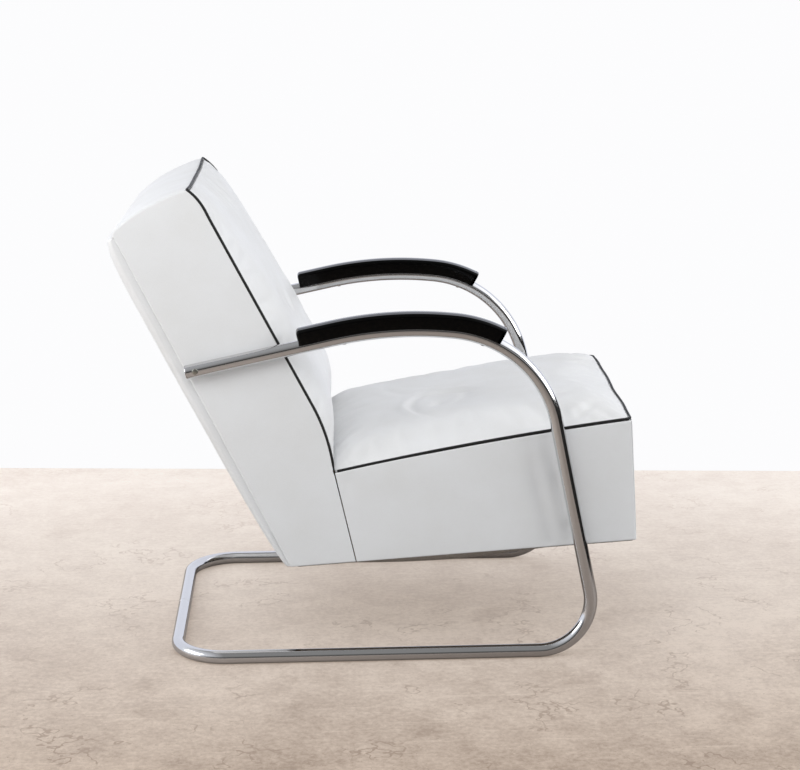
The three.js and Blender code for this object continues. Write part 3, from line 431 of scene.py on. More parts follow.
def woodMaterial():
    material, w, shader = newMaterial("planedBeech")
    where = w.here()
    stretched = w.node("Mapping")
    fix(stretched, {"Scale": (0.25, 1.0, 1.0)})
    w.join(where, stretched.inputs["Vector"])
    rings = w.noise(stretched.outputs[0], 90.0, 6.0, 0.6)
    flecks = w.remap(w.noise(stretched.outputs[0], 900.0, 2.0), 0.58, 0.7)
    tone = w.mix(w.remap(rings, 0.35, 0.65), (0.42, 0.25, 0.13, 1), (0.62, 0.42, 0.25, 1))
    w.join(w.mix(w.times(flecks, 0.4), tone, (0.3, 0.16, 0.08, 1)), shader.inputs["Base Color"])
    w.join(w.remap(rings, 0.3, 0.7, 0.5, 0.7), shader.inputs["Roughness"])
    bumped(w, shader, rings, 0.2, 0.4)
    return material


def wovenMaterial(name, dark, light, pitch):
    material, w, shader = newMaterial(name)
    where = w.here()
    turns = 2 * math.pi / (pitch * metre)
    axes = w.axes(where)
    warp, weft = (w.math("SINE", w.times(axes[axis], turns)) for axis in ("X", "Y"))
    threads = w.times(warp, weft)
    slubs = w.noise(where, 700.0, 3.0)
    share = w.remap(w.plus(w.times(threads, 0.4), slubs), 0.1, 0.9)
    w.join(w.mix(share, dark, light), shader.inputs["Base Color"])
    w.join(w.remap(slubs, 0.3, 0.7, 0.85, 0.98), shader.inputs["Roughness"])
    bumped(w, shader, threads, 0.5, 0.4)
    return material


whiteLeather = leatherMaterial("whiteLeather", (0.815, 0.825, 0.84, 1), (0.78, 0.785, 0.79, 1),
                               roughness=0.42, cellSize=1.1, depth=0.10)
blackLeather = leatherMaterial("blackPiping", (0.006, 0.006, 0.0065, 1), (0.012, 0.0115, 0.0115, 1),
                               roughness=0.5, cellSize=0.8, depth=0.08)
chrome = chromeMaterial()
steel = steelMaterial("zincedSteel", (0.44, 0.44, 0.43, 1), (0.6, 0.6, 0.6, 1))
nickel = steelMaterial("dulledNickel", (0.30, 0.30, 0.265, 1), (0.40, 0.40, 0.36, 1))
lacquer = lacquerMaterial()
beech = woodMaterial()
jute = wovenMaterial("juteWebbing", (0.25, 0.18, 0.10, 1), (0.52, 0.42, 0.28, 1), 2.4)
liningCloth = wovenMaterial("liningCloth", (0.25, 0.205, 0.17, 1), (0.50, 0.43, 0.37, 1), 1.0)
print("materials made")

slotMaterials = {
    "chrome": chrome, "steel": steel, "lacquer": lacquer, "timber": beech, "upholstery": whiteLeather,
    "piping": blackLeather, "webbing": jute, "dust_cloth": liningCloth,
}
for part in frame["record"]["subparts"]:
    shown = cadNodes[part["node"]]
    shown.data.materials.clear()
    shown.data.materials.append(slotMaterials[part["material_slot"]])


def turtle(start, forward, moves):
    # a path of straight runs and bends: (length,) or (radius, turn, steps, the vector it turns to)
    spots, ways = [np.array(start, float)], [np.array(forward, float)]
    spot, way = spots[0].copy(), ways[0].copy()
    for move in moves:
        if len(move) == 1:
            spot = spot + way * move[0]
            spots.append(spot.copy())
            ways.append(way.copy())
            continue
        radius, turn, steps, toward = move
        toward = np.array(toward or (-way[2], 0.0, way[0]), float)  # none: rising to the left of the way
        base, first = spot.copy(), way.copy()
        for k in range(1, steps + 1):
            angle = turn * k / steps
            spot = base + radius * (math.sin(angle) * first + (1 - math.cos(angle)) * toward)
            way = math.cos(angle) * first + math.sin(angle) * toward
            spots.append(spot.copy())
            ways.append(way.copy())
    return np.array(spots), np.array(ways)


def tubeMoves():
    t = tube
    return {
        "corner": (t["floorBend"], quarter, 30, (1.0, 0.0, 0.0)),
        "floorBar": (t["floorBar"],),
        "toe": (t["floorBend"], quarter + t["legLean"], 34, None),
        "leg": (t["leg"],),
        "shoulder": (t["shoulderBend"], t["shoulderTurn"], 36, None),
        "arm": (t["armBend"], t["armTurn"], 18, None),
        "tail": (t["tail"],),
    }


def circle(radius, count):
    angles = np.arange(count) * 2 * math.pi / count
    return np.stack([np.cos(angles), np.sin(angles)], -1) * radius


def ringFrames(ways, up=(0.0, 0.0, 1.0)):
    # sides and ups carried along the path without twist
    up = np.array(up)
    sides, ups = [], []
    for way in ways:
        side = sides[-1] - way * np.dot(sides[-1], way) if sides else np.cross(up, way)
        side /= np.linalg.norm(side)
        sides.append(side)
        ups.append(np.cross(way, side))
    return np.array(sides), np.array(ups)


def ringsAlong(centres, sides, ups, section, shares):
    # a round section set along a path, thicker or thinner by each ring's share
    return [c + (section[:, :1] * s + section[:, 1:] * u) * share
            for c, s, u, share in zip(centres, sides, ups, shares)]


tubeFinish = {"sides": 56, "seamGap": 0.15, "bevel": 0.35, "nearEnds": (0.5, 0.9, 2.0, 6.0)}


def makeTube(label, sign):
    f = tubeFinish
    start = (crossbarX, sign * f["seamGap"], tube["radius"])
    run = tube["centreY"] - tube["floorBend"] - f["seamGap"]
    # short rings beside the bevelled ends keep the shading of the long runs even
    near = [f["bevel"], *f["nearEnds"]]
    firstSteps = [(b - a,) for a, b in zip([0.0] + near, near)] + [(run - near[-1],)]
    moves = list(tubeMoves().values())
    moves[-1] = (tube["tail"] - near[-1],)
    lastSteps = [(a - b,) for a, b in zip(near[::-1], near[::-1][1:] + [0.0])]
    spots, ways = turtle(start, (0.0, sign, 0.0), firstSteps + moves + lastSteps)
    sides, ups = ringFrames(ways)
    count = f["sides"]
    shares = np.ones(len(spots))
    bores = ringsAlong(spots, sides, ups, circle(tube["radius"] - tube["wall"], count), shares)
    shares[[0, -1]] = (tube["radius"] - f["bevel"]) / tube["radius"]
    rings = ringsAlong(spots, sides, ups, circle(tube["radius"], count), shares)
    points = np.concatenate(rings + bores[::-1])
    faces = gridFaces(2 * len(spots), count, wrap=True)
    last = (2 * len(spots) - 1) * count
    faces += [(last + k, last + (k + 1) % count, (k + 1) % count, k) for k in range(count)]
    pieceFrom(f"tube_{label}", points, faces, chrome, (f"frame_tube_{label}",), 38)
    return spots, ways


tubePaths = {}
for label, sign in (("right", -1.0), ("left", 1.0)):
    tubePaths[label] = (sign, *makeTube(label, sign))
print("tube frame made")

armrestSizes = {
    "width": 34.0, "top": 33.0, "skirt": 4.0, "skirtEdge": 0.8, "crown": 1.7, "edge": 6.5, "endRound": 6.5,
    "shoulderSteps": 12, "tail": 59.5, "frontTrim": 6.5,
}


def armrestOutline():
    # the section, counter-clockwise, in [across, up], with a round groove below and round shoulders
    a = armrestSizes
    half, groove = a["width"] / 2, tube["radius"] + clearance
    start = math.asin(a["skirt"] / groove)
    points = [[half - a["skirtEdge"], a["skirt"]], [half, a["skirt"] + a["skirtEdge"]]]
    crownTop, edge = a["top"] - a["crown"], a["edge"]
    for k in range(9):
        angle = quarter * k / 8
        points.append([half - edge * (1 - math.cos(angle)), crownTop - edge * (1 - math.sin(angle))])
    flat = half - edge
    crown = [[x, crownTop + a["crown"] * (1 - (x / flat) ** 2)]
             for x in (flat - 2 * flat * k / 14 for k in range(1, 14))]
    turns = [math.pi - start - (math.pi - 2 * start) * k / 24 for k in range(25)]
    hollow = [[groove * math.cos(angle), groove * math.sin(angle)] for angle in turns]
    mirrored = [[-x, z] for x, z in points[::-1]]
    return np.array([mirrored[-1]] + hollow + points + crown + mirrored[:-1])


def makeArmrest(label):
    a = armrestSizes
    sign, spots, ways = tubePaths[label]
    tailStart = len(spots) - 7  # the last ring of the arm's bend
    shoulderEnd = tailStart - tubeMoves()["arm"][2]
    first = shoulderEnd - a["shoulderSteps"]
    centres, headings = list(spots[first:tailStart + 1]), list(ways[first:tailStart + 1])
    centres[0] = centres[0] + headings[0] * a["frontTrim"]
    centres.append(centres[-1] + headings[-1] * a["tail"])
    headings.append(headings[-1])
    outline = armrestOutline()
    across, high = outline[:, :1], outline[:, 1:]
    groove = (np.hypot(across, high) < tube["radius"] + clearance + 0.01)
    topShare = np.clip((high - a["skirt"]) / (a["top"] - a["skirt"]) * 1.6 - 0.6, 0, 1)
    tubeSide = np.array([0.0, 1.0, 0.0])

    def ring(centre, way, inset):
        up = np.cross(way, tubeSide)
        up = up if up[2] > 0 else -up
        drawnIn = np.where(groove, across, across * (1 - inset / (a["width"] / 2)))
        lowered = np.where(groove, high, high - inset * topShare)
        return centre + drawnIn * tubeSide + lowered * up

    steps, radius = 6, a["endRound"]
    ends = []
    for k in range(steps + 1):
        angle = quarter * (1 - k / steps)
        ends.append((radius * (1 - math.sin(angle)), radius * (1 - math.cos(angle))))
    rings = [ring(centres[0] + headings[0] * along, headings[0], inset) for along, inset in ends]
    rings += [ring(c, way, 0.0) for c, way in zip(centres[1:-1], headings[1:-1])]
    rings += [ring(centres[-1] - headings[-1] * along, headings[-1], inset) for along, inset in ends[::-1]]
    count = len(outline)
    points = np.concatenate(rings)
    faces = gridFaces(len(rings), count, wrap=True) + capFaces(count, len(points))
    return pieceFrom(f"armrest_{label}_wood", points, faces, lacquer, (f"armrest_{label}",), 30)


for label in tubePaths:
    makeArmrest(label)
print("armrests made")


def boxMiddle(node):
    low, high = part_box(node)
    return [(low[k] + high[k]) / 2 / metre for k in range(3)]


def domeProfile(radius, height, shankRadius, shankLength, steps=9):
    # shank, a sharp rim and a dome, as [radius, height] with the seat at 0
    profile = [[0.02, -shankLength], [shankRadius, -shankLength], [shankRadius, 0.0], [radius, 0.0]]
    profile.append([radius, height * 0.18])
    for k in range(1, steps + 1):
        angle = quarter * k / steps
        profile.append([max(0.02, radius * math.cos(angle)), height * (0.18 + 0.82 * math.sin(angle))])
    return profile


fixingShapes = {
    # head radius and height, shank radius and length
    "armScrew": (5.3, 2.2, 3.0, 30.0), "restScrew": (3.4, 0.9, 2.0, 34.0),
    "underTube": 12.05, "besideTube": 0.1,
    # [radius, height]
    "plug": [[0.02, -8], [9.0, -8], [9.4, 0], [11.6, 0], [11.75, 0.5], [11.4, 1.3], [9.5, 2], [5, 2.4],
             [0.02, 2.5]],
    "jointScrew": [[0.02, -4], [2.3, -4], [2.3, -0.2], [2.0, 0.1], [1.3, 0.1], [1.1, -1.2], [0.02, -1.2]],
}
for label, (sign, spots, ways) in tubePaths.items():
    middle = boxMiddle(f"back_screw_{label}")
    outside = sign * (tube["centreY"] + tube["radius"] + fixingShapes["besideTube"])
    turnedPiece(f"arm_screw_{label}", domeProfile(*fixingShapes["armScrew"]), (middle[0], outside, middle[2]),
                (0, sign, 0), nickel, (f"back_screw_{label}",))
    turnedPiece(f"end_plug_{label}", fixingShapes["plug"], spots[-1] + ways[-1] * clearance, ways[-1],
                chrome, (f"tube_plug_{label}",))
    for spot in ("front", "rear"):
        node = f"armrest_screw_{label}_{spot}"
        middle = boxMiddle(node)
        nearest = int(np.argmin(np.hypot(spots[:, 0] - middle[0], spots[:, 2] - middle[2])))
        down = np.cross(np.array([0.0, 1.0, 0.0]), ways[nearest])
        down = down if down[2] < 0 else -down
        offset = np.array([middle[0], sign * tube["centreY"], middle[2]]) - spots[nearest]
        centre = spots[nearest] + ways[nearest] * float(np.dot(offset, ways[nearest]))
        turnedPiece(f"rest_screw_{label}_{spot}", domeProfile(*fixingShapes["restScrew"]),
                    centre + down * fixingShapes["underTube"], down, steel, (node,))
    # set screws in the crossbar's joint, sunk flush with the tube
    node = f"sleeve_screw_{label}"
    middle = boxMiddle(node)
    spot = (crossbarX + tube["radius"], middle[1], middle[2])
    turnedPiece(f"joint_screw_{label}", fixingShapes["jointScrew"], spot, (1, 0, 0), steel, (node,))
print("fixings made")


def knots(length, edges, spacing):
    # places along a side from 0 to 1: close together where the cover rounds over, then even
    shares = (0.4, 0.55, 0.75, 1.0, 1.35, 1.9, 2.8, 4.2)
    start, end = ([edge * share for share in (0.31 if edge < 5 else 0.285,) + shares] for edge in edges)
    count = max(2, round((length - start[-1] - end[-1]) / spacing))
    middle = np.linspace(start[-1], length - end[-1], count + 1)[1:-1]
    return np.concatenate([start, middle, [length - e for e in end[::-1]]]) / length


def roundedDrop(nearU, edgeU, nearV, edgeV):
    # how far a panel falls away towards its rim, as on a ball where two rims meet
    su, sv = np.clip(1 - nearU / edgeU, 0, 1) ** 2, np.clip(1 - nearV / edgeV, 0, 1) ** 2
    edge = (edgeU * su + edgeV * sv) / np.maximum(su + sv, 1e-9)
    return edge * (1 - np.sqrt(1 - np.minimum(su + sv, 0.999)))


def fullness(t, power=0.6):
    # how far stuffing stands out across a face, from 1 in the middle to 0 at the seams
    return (1 - np.clip(np.abs(t), 0, 1) ** 4) ** power


def patchPoints(bottom, top, rear, front, us, vs):
    # a grid between four edges, each a function of its share, bottom and top running from rear to front
    u, v = np.meshgrid(us, vs)
    b, t = bottom(u), top(u)
    r, f = rear(v), front(v)
    corners = [bottom(np.zeros_like(u)), bottom(np.ones_like(u)), top(np.zeros_like(u)), top(np.ones_like(u))]
    grid = []
    for k in range(2):
        straight = ((1 - u) * (1 - v) * corners[0][k] + u * (1 - v) * corners[1][k]
                    + (1 - u) * v * corners[2][k] + u * v * corners[3][k])
        grid.append((1 - v) * b[k] + v * t[k] + (1 - u) * r[k] + u * f[k] - straight)
    return grid[0], grid[1], u, v


coverSizes = {
    "edge": 3.2, "spacing": 7.0, "pucker": 0.45, "puckerReach": 13.0, "stitch": 7.5, "stitchDepth": 0.12,
    "waves": 0.8, "waveLength": 120.0,
}


def coverPanel(name, group, outline, size, place, seed, swell, edges=None, dents=None):
    # a leather panel: size is its width and height, edges how far its rear, front, foot and top round over,
    # place turns [a, b, outward] grids to points of the group, swell and dents are functions of the grid
    c, depth = coverSizes, coverDepth
    rearEdge, frontEdgeSize, footEdge, topEdge = edges or (c["edge"],) * 4
    width, height = size
    us = knots(width, (rearEdge, frontEdgeSize), c["spacing"])
    vs = knots(height, (footEdge, topEdge), c["spacing"])
    a, b, u, v = patchPoints(*outline, us, vs)
    du, dv = np.minimum(u, 1 - u) * width, np.minimum(v, 1 - v) * height
    nearest = np.minimum(du, dv)
    edgeU, edgeV = np.where(u < 0.5, rearEdge, frontEdgeSize), np.where(v < 0.5, footEdge, topEdge)
    drop = roundedDrop(du, edgeU, dv, edgeV)
    along = np.where(du < dv, v * height, u * width)
    # small puckers drawn in by the stitches, longer ones where the leather was pulled, and slow waves
    pucker = c["pucker"] * ripple(along, seed * 31, nearest * 0.3, 19.0, seed)
    pucker = pucker - c["stitchDepth"] * np.abs(np.sin(math.pi * along / c["stitch"])) * np.exp(-nearest / 3)
    pucker = pucker * np.exp(-nearest / c["puckerReach"]) * ramp(nearest, 1.5, 5)
    waves = ripple(a, b, seed, c["waveLength"], seed) + 0.3 * ripple(a, b, seed, 42.0, seed + 5)
    out = pucker + c["waves"] * smooth(nearest / 25) * waves - drop + swell(a, b, u, v)
    if dents:
        out = out + dents(a, b, u, v) * smooth(nearest / 12)
    face = outOf(group, place(a, b, out))
    rows, columns = a.shape

    def depthPoint(j, i, level):
        # the rim turns in on a mitre, first into the seam and then down to the back of the panel
        inset = (1 - level) * depth * 0.9
        if 0 < i < columns - 1 and 0 < j < rows - 1:
            return outOf(group, place(a[j, i], b[j, i], -depth))
        pa = a[j, i] + (inset if i == 0 else -inset if i == columns - 1 else 0)
        pb = b[j, i] + (inset if j == 0 else -inset if j == rows - 1 else 0)
        return outOf(group, place(pa, pb, -drop[j, i] - (depth - drop[j, i]) * (1 - level)))

    points, faces = shell(face, depthPoint)
    return pieceFrom(name, points, faces, whiteLeather, (name.replace("_cover", ""),), 50)


def across(a0, a1):
    # a straight edge of a panel
    return lambda u: (lerp(a0[0], a1[0], u), lerp(a0[1], a1[1], u))


def fromSideToSide(foot, top):
    # the outline of a panel as wide as the chair
    corners = [(side * halfWidth, level) for level in (foot, top) for side in (-1, 1)]
    return tuple(across(corners[i], corners[j]) for i, j in ((0, 1), (2, 3), (0, 2), (1, 3)))


def stacked(*axes):
    return np.stack(np.broadcast_arrays(*axes), -1)


def sideways(sign):
    # the outward grid of a side panel
    return lambda a, b, out: stacked(a, sign * (halfWidth + out), b)


def crowned(height):
    return lambda a, b, u, v: height * fullness(2 * u - 1) * fullness(2 * v - 1)


def pipingHeight(x):
    share = (x + seat["rearReach"]) / (seat["length"] + seat["rearReach"])
    rise = (seat["frontHeight"] - seat["rearHeight"]) * share
    return seat["rearHeight"] + rise + seat["pipingBow"] * 4 * share * (1 - share)


def frontBow(y):
    # the front edge of the seat stands forward between its corners, a little unevenly
    return 0.8 + 4.0 * fullness(y / halfWidth, 0.8) + 0.9 * fullness(y / halfWidth) * np.sin(y / 31)


def seatTop(x):
    return pipingHeight(x) - 1.2 - 0.8 * ramp(x, 60, 120)  # the side panels end under the piping


def seamX(z):
    return -seat["rearReach"] / seat["rearHeight"] * z


rearTopX = seamX(seat["rearHeight"])
seatSideSizes = {
    "legLine": (366.0, -0.2), "legDent": 3.6, "footFold": 1.2, "creaseDent": 1.5,
    # how far from the leg's line, width, middle and width up the panel, and share of the dent
    "pulls": ((-16, 13, 0.45, 0.42, 1.0), (21, 9, 0.5, 0.5, 1.4)),
}


def seatSide(label, sign):
    s = seatSideSizes
    length = seat["length"]
    outline = (
        across((0, 0), (length, 0)),
        lambda u: (lerp(rearTopX, length, u), seatTop(lerp(rearTopX, length, u))),
        lambda v: (seamX(v * seatTop(rearTopX)), v * seatTop(rearTopX)),
        across((length, 0), (length, seatTop(length))),
    )

    def dents(a, b, u, v):
        # pulled in on both sides of the leg's bolts, a fold at the front foot and a dimple by the crease
        leg = s["legLine"][0] + s["legLine"][1] * b
        pulled = sum(share * bump(a, leg + off, wide) * bump(v, *upward)
                     for off, wide, *upward, share in s["pulls"])
        fold = np.sin((a - length + 40) / 5.5) * bump(a, length - 12, 13) * bump(b, 5, 8)
        crease = bump(a, rearTopX + 22, 16) * bump(b, seat["rearHeight"] - 24, 20)
        return -s["legDent"] * pulled + s["footFold"] * fold - s["creaseDent"] * crease

    return coverPanel(f"seat_panel_{label}_cover", seat, outline, (515.0, 200.0), sideways(sign), 3.0 + sign,
                      crowned(1.0), dents=dents)


def seenFromBack(x, z):
    # a place in the seat, in the back's own [x, z]
    return into(back, *outOf(seat, [x, 0.0, z])[[0, 2]])


seamFoot = seenFromBack(0.0, 0.0)
seamTop = seenFromBack(-seat["rearReach"], seat["rearHeight"])
underFar = seenFromBack(-seat["length"], 0.0)
crestZ = back["rise"] - back["crestDrop"]
backShape = {
    "rimAtTop": 158.5, "rimAtFoot": 175.0, "topCorner": 11.0, "topCornerShare": 0.12, "domeRear": -153.0,
    "softEdge": 8.0, "topEdge": 3.2, "flatSeam": 1.2, "topSwell": 1.0, "rearTight": 0.3,
}


def undersideAt(x):
    return seamFoot[1] + (underFar[1] - seamFoot[1]) * (x - seamFoot[0]) / (underFar[0] - seamFoot[0])


def rimX(z):
    # the seam between the side and the rear panel leans out a little towards the foot
    return -lerp(backShape["rimAtTop"], backShape["rimAtFoot"], (crestZ - np.asarray(z, float)) / 660)


def frontEdge(z):
    z = np.asarray(z, float)
    loin = np.clip((back["loinTop"] - z) / (back["loinTop"] - seamTop[1]), 0, None)
    crest = np.clip((z - (crestZ - back["crestBend"])) / back["crestBend"], 0, None)
    return seamTop[0] * loin ** 2 - back["crestSetback"] * crest ** 2


def backTopLine(x):
    # the domed top between the front piping and the rear corner
    frontX, rearX = -back["crestSetback"] - pipingRadius, backShape["domeRear"]
    middle, half = (frontX + rearX) / 2, (frontX - rearX) / 2
    return back["rise"] - back["crestDrop"] * ((x - middle) / half) ** 2


def topCurve(share):
    # from the rear seam (0) round the corner and over the dome to the front piping (1), as [x, z]
    share = np.asarray(share, float)
    radius, turnShare = backShape["topCorner"], backShape["topCornerShare"]
    cornerX = float(rimX(crestZ))
    angle = np.clip(share / turnShare, 0, 1) * quarter
    level = backTopLine(cornerX + radius)
    x = lerp(cornerX + radius, -back["crestSetback"], np.clip((share - turnShare) / (1 - turnShare), 0, 1))
    turning = share < turnShare
    return (np.where(turning, cornerX + radius * (1 - np.cos(angle)), x),
            np.where(turning, level - radius * (1 - np.sin(angle)), backTopLine(x)))


def backSide(label, sign):
    footZ = float(undersideAt(-backShape["rimAtFoot"]))
    footX = float(rimX(footZ))
    rearTopZ = float(topCurve(0.0)[1])

    def frontLine(v):
        # the seam with the seat up to the crease, then beside the piping to the crest
        z = lerp(seamFoot[1], float(topCurve(1.0)[1]), v)
        t = np.clip((z - seamFoot[1]) / (seamTop[1] - seamFoot[1]), 0, 1)
        return np.where(z < seamTop[1], lerp(seamFoot[0], seamTop[0], t), frontEdge(z) - 1.2), z

    outline = (
        across((footX, footZ), seamFoot),
        topCurve,
        lambda v: (rimX(lerp(footZ, rearTopZ, v)), lerp(footZ, rearTopZ, v)),
        frontLine,
    )
    edges = (backShape["softEdge"], coverSizes["edge"], coverSizes["edge"], backShape["topEdge"])
    return coverPanel(f"back_panel_{label}_cover", back, outline, (170.0, 690.0), sideways(sign), 9.0 + sign,
                      crowned(1.4), edges)


def seatFront():
    top = seatTop(seat["length"])
    place = lambda a, b, out: stacked(seat["length"] + out + frontBow(a) * b / top, a, b)
    return coverPanel("seat_panel_front_cover", seat, fromSideToSide(0, top), (528.0, 221.0), place, 17.0,
                      crowned(5.0))


def backRear():
    outline = fromSideToSide(float(undersideAt(-backShape["rimAtFoot"])), float(topCurve(0.0)[1]))
    place = lambda a, b, out: stacked(rimX(b) - out, a, b)
    soft, tight = backShape["softEdge"], backShape["rearTight"]

    def swell(a, b, u, v):
        full = back["rearCrown"] + back["depth"] + rimX(b)
        return full * fullness(2 * u - 1, tight) * fullness(2 * v - 1, tight * np.where(v > 0.5, 0.6, 1.0))

    edges = (soft, soft, coverSizes["edge"], backShape["flatSeam"])
    return coverPanel("back_panel_rear_cover", back, outline, (528.0, 650.0), place, 23.0, swell, edges)


def backTop():
    # follows the domed top from the rear seam to the piping
    shares = np.linspace(0, 1, 240)
    lineX, lineZ = topCurve(shares)
    slopeX, slopeZ = np.gradient(lineX), np.gradient(lineZ)
    lengths = np.concatenate([[0], np.cumsum(np.hypot(np.diff(lineX), np.diff(lineZ)))])
    normalX, normalZ = -slopeZ / np.hypot(slopeX, slopeZ), slopeX / np.hypot(slopeX, slopeZ)

    def place(a, b, out):
        x = np.interp(b, lengths, lineX) + out * np.interp(b, lengths, normalX)
        z = np.interp(b, lengths, lineZ) + out * np.interp(b, lengths, normalZ)
        return stacked(x, a, z)

    def swell(a, b, u, v):
        return backShape["topSwell"] * (1.15 - 0.3 * v) * fullness(2 * u - 1, 0.4) * fullness(2 * v - 1, 0.35)

    high, size = backShape["topEdge"], (528.0, lengths[-1])
    return coverPanel("back_panel_top_cover", back, fromSideToSide(0, lengths[-1]), size, place, 29.0,
                      swell, (high, high, backShape["flatSeam"], coverSizes["edge"]))


foldShape = {
    "inset": 7.5,
    "profile": [[0.02, -9], [4, -8.2], [6, -6], [7, -3], [7, 1], [6.3, 4], [4.6, 6.3], [2.2, 7.6], [0.02, 8]],
}


def cornerFold(label, sign):
    # the leather folded in where the top, side and rear panels meet
    inset = foldShape["inset"]
    x, z = topCurve(0.0)
    spot = np.array([x + inset, sign * (halfWidth - inset), z])
    at = outOf(back, spot)
    way = outOf(back, spot + [0.0, 0.0, 1.0]) - at
    turnedPiece(f"corner_fold_{label}", foldShape["profile"], at, way, whiteLeather)


for label, (sign, spots, ways) in tubePaths.items():
    seatSide(label, sign)
    backSide(label, sign)
seatFront()
backRear()
backTop()
for label, (sign, spots, ways) in tubePaths.items():
    cornerFold(label, sign)
print("cover panels made")


def gridShares(count, pull=0.55):
    # -1 to 1, drawn towards both ends
    t = np.linspace(-1, 1, count + 1)
    return (1 - pull) * t + pull * np.sin(t * quarter)


liningSizes = {
    "hem": 3.2, "hemFoot": -1.6, "sag": 34.0, "rearX": -104.0, "inset": 6.0, "thickness": 0.8, "ease": 1.02,
    "folds": 1.3, "tackSpacing": 33.0, "tackRadius": 3.2, "tackHeight": 1.3, "tackIn": 4.6,
}


def liningDrop(x, y):
    # the lining bellies down between the rails, fuller towards the front, with folds beside the rails
    s = liningSizes
    lengthwise = np.clip((x - s["rearX"]) / (seat["length"] - s["inset"] - s["rearX"]), 0, 1)
    bowl = fullness(y / 250.0, 0.55) * np.sin(math.pi * np.clip(lengthwise * 1.22 - 0.05, 0, 1)) ** 0.8
    waves = np.sin(y / 9 + 2.5 * ripple(x, y, 1.0, 160.0, 4.0))
    return s["sag"] * bowl + s["folds"] * waves * bowl * bump(np.abs(y), 225, 30)


def seatLining():
    s = liningSizes
    half = halfWidth - coverDepth - clearance
    xs = np.linspace(s["rearX"], seat["length"] - s["inset"], 80)
    ys = gridShares(90) * half
    x, y = np.meshgrid(xs, ys)
    low = s["hemFoot"] - liningDrop(x, y) + 0.25 * ripple(x, y, 0.0, 14.0, 7.0)
    toRim = np.minimum(np.minimum(x - xs[0], xs[-1] - x), ys[-1] - np.abs(y))
    thick = lerp(s["hem"], s["thickness"], ramp(toRim, 10, 5))
    under = outOf(seat, np.stack([x, y, low], -1))
    over = outOf(seat, np.stack([x, y, low + thick], -1))
    rows, columns = x.shape
    total = rows * columns
    around = [j * columns + i for j, i in rimOf(rows, columns)]
    faces = gridFaces(rows, columns) + gridFaces(rows, columns, start=total, flip=True)
    faces += [(i, j, j + total, i + total) for i, j in zip([around[-1]] + around, around)]
    points = np.concatenate([under.reshape(-1, 3), over.reshape(-1, 3)])
    lining = pieceFrom("seat_lining", points, faces, liningCloth, ("seat_dust_cover",), 50)


def liningTacks():
    # low round heads all round the lining, joined in one piece
    s = liningSizes
    half = halfWidth - coverDepth - s["tackIn"]
    low, high = s["rearX"] + s["tackIn"], seat["length"] - s["inset"] - s["tackIn"]
    spots, pitch = [], (high - low) / round((high - low) / s["tackSpacing"])
    for sign, end in ((-1, low), (1, high)):
        spots += [(x, sign * half) for x in np.arange(low, high + 1, pitch)]
        spots += [(end, y) for y in np.linspace(-half, half, round(2 * half / s["tackSpacing"]) + 1)[1:-1]]
    points, faces, sides = [], [], 12
    profile = [(1.0, 0.0), (0.92, 0.45), (0.6, 0.85), (0.05, 1.0)]
    for x, y in spots:
        foot = s["hemFoot"] - 0.2 - float(liningDrop(np.array([x]), np.array([y]))[0])
        start = len(points)
        for share, height in profile:
            for k in range(sides):
                angle = 2 * math.pi * k / sides
                reach = s["tackRadius"] * share
                lower = foot - s["tackHeight"] * height
                points.append([x + reach * math.cos(angle), y + reach * math.sin(angle), lower])
        faces += gridFaces(len(profile), sides, start=start, wrap=True) + capFaces(sides, len(points), start)
    pieceFrom("lining_tacks", outOf(seat, points), faces, steel, (), 50)


seatLining()
liningTacks()
print("underside made")


stuffing = {"frames": 20, "cap": 7.0, "start": 0.92}  # cap: how far the cloth may move, in mm
clothSettings = {
    "quality": 6, "mass": 0.25, "vertex_group_mass": "seam",
    "tension_stiffness": 18, "compression_stiffness": 18, "shear_stiffness": 8, "bending_stiffness": 1.5,
    "use_pressure": True, "uniform_pressure_force": 4.0, "shrink_min": -0.012,
}


def stuffedSheet(name, face, outward):
    # the pad's face as a sheet of cloth held along its seams and blown out by what is inside it
    s = stuffing
    rows, columns = face.shape[:2]
    mesh = bpy.data.meshes.new(name)
    first = np.cross(face[1, 0] - face[0, 0], face[0, 1] - face[0, 0])
    faces = gridFaces(rows, columns, flip=np.dot(first, outward) > 0)
    mesh.from_pydata((face.reshape(-1, 3) * metre).tolist(), [], faces)
    sheet = bpy.data.objects.new(name, mesh)
    bpy.context.scene.collection.objects.link(sheet)
    held = sheet.vertex_groups.new(name="seam")
    held.add([j * columns + i for j, i in rimOf(rows, columns)], 1.0, "REPLACE")
    cloth = sheet.modifiers.new("cloth", "CLOTH")
    for key, value in clothSettings.items():
        setattr(cloth.settings, key, value)
    cloth.settings.effector_weights.gravity = 0
    cloth.collision_settings.use_collision = False
    cloth.point_cache.frame_start, cloth.point_cache.frame_end = 1, s["frames"]
    for index in range(1, s["frames"] + 1):
        bpy.context.scene.frame_set(index)
    blown = sheet.evaluated_get(bpy.context.evaluated_depsgraph_get())
    spots = np.array([v.co for v in blown.data.vertices]).reshape(face.shape) / metre
    moved = spots - face
    reach = np.linalg.norm(moved, axis=-1, keepdims=True) + 1e-9
    middle = float(reach[rows // 2, columns // 2, 0])
    print(name, "blown out by up to", round(float(reach.max()), 1), "mm, in the middle", round(middle, 1))
    bpy.data.objects.remove(sheet)
    bpy.context.scene.frame_set(1)
    return face + moved * s["cap"] * np.tanh(reach / s["cap"]) / reach


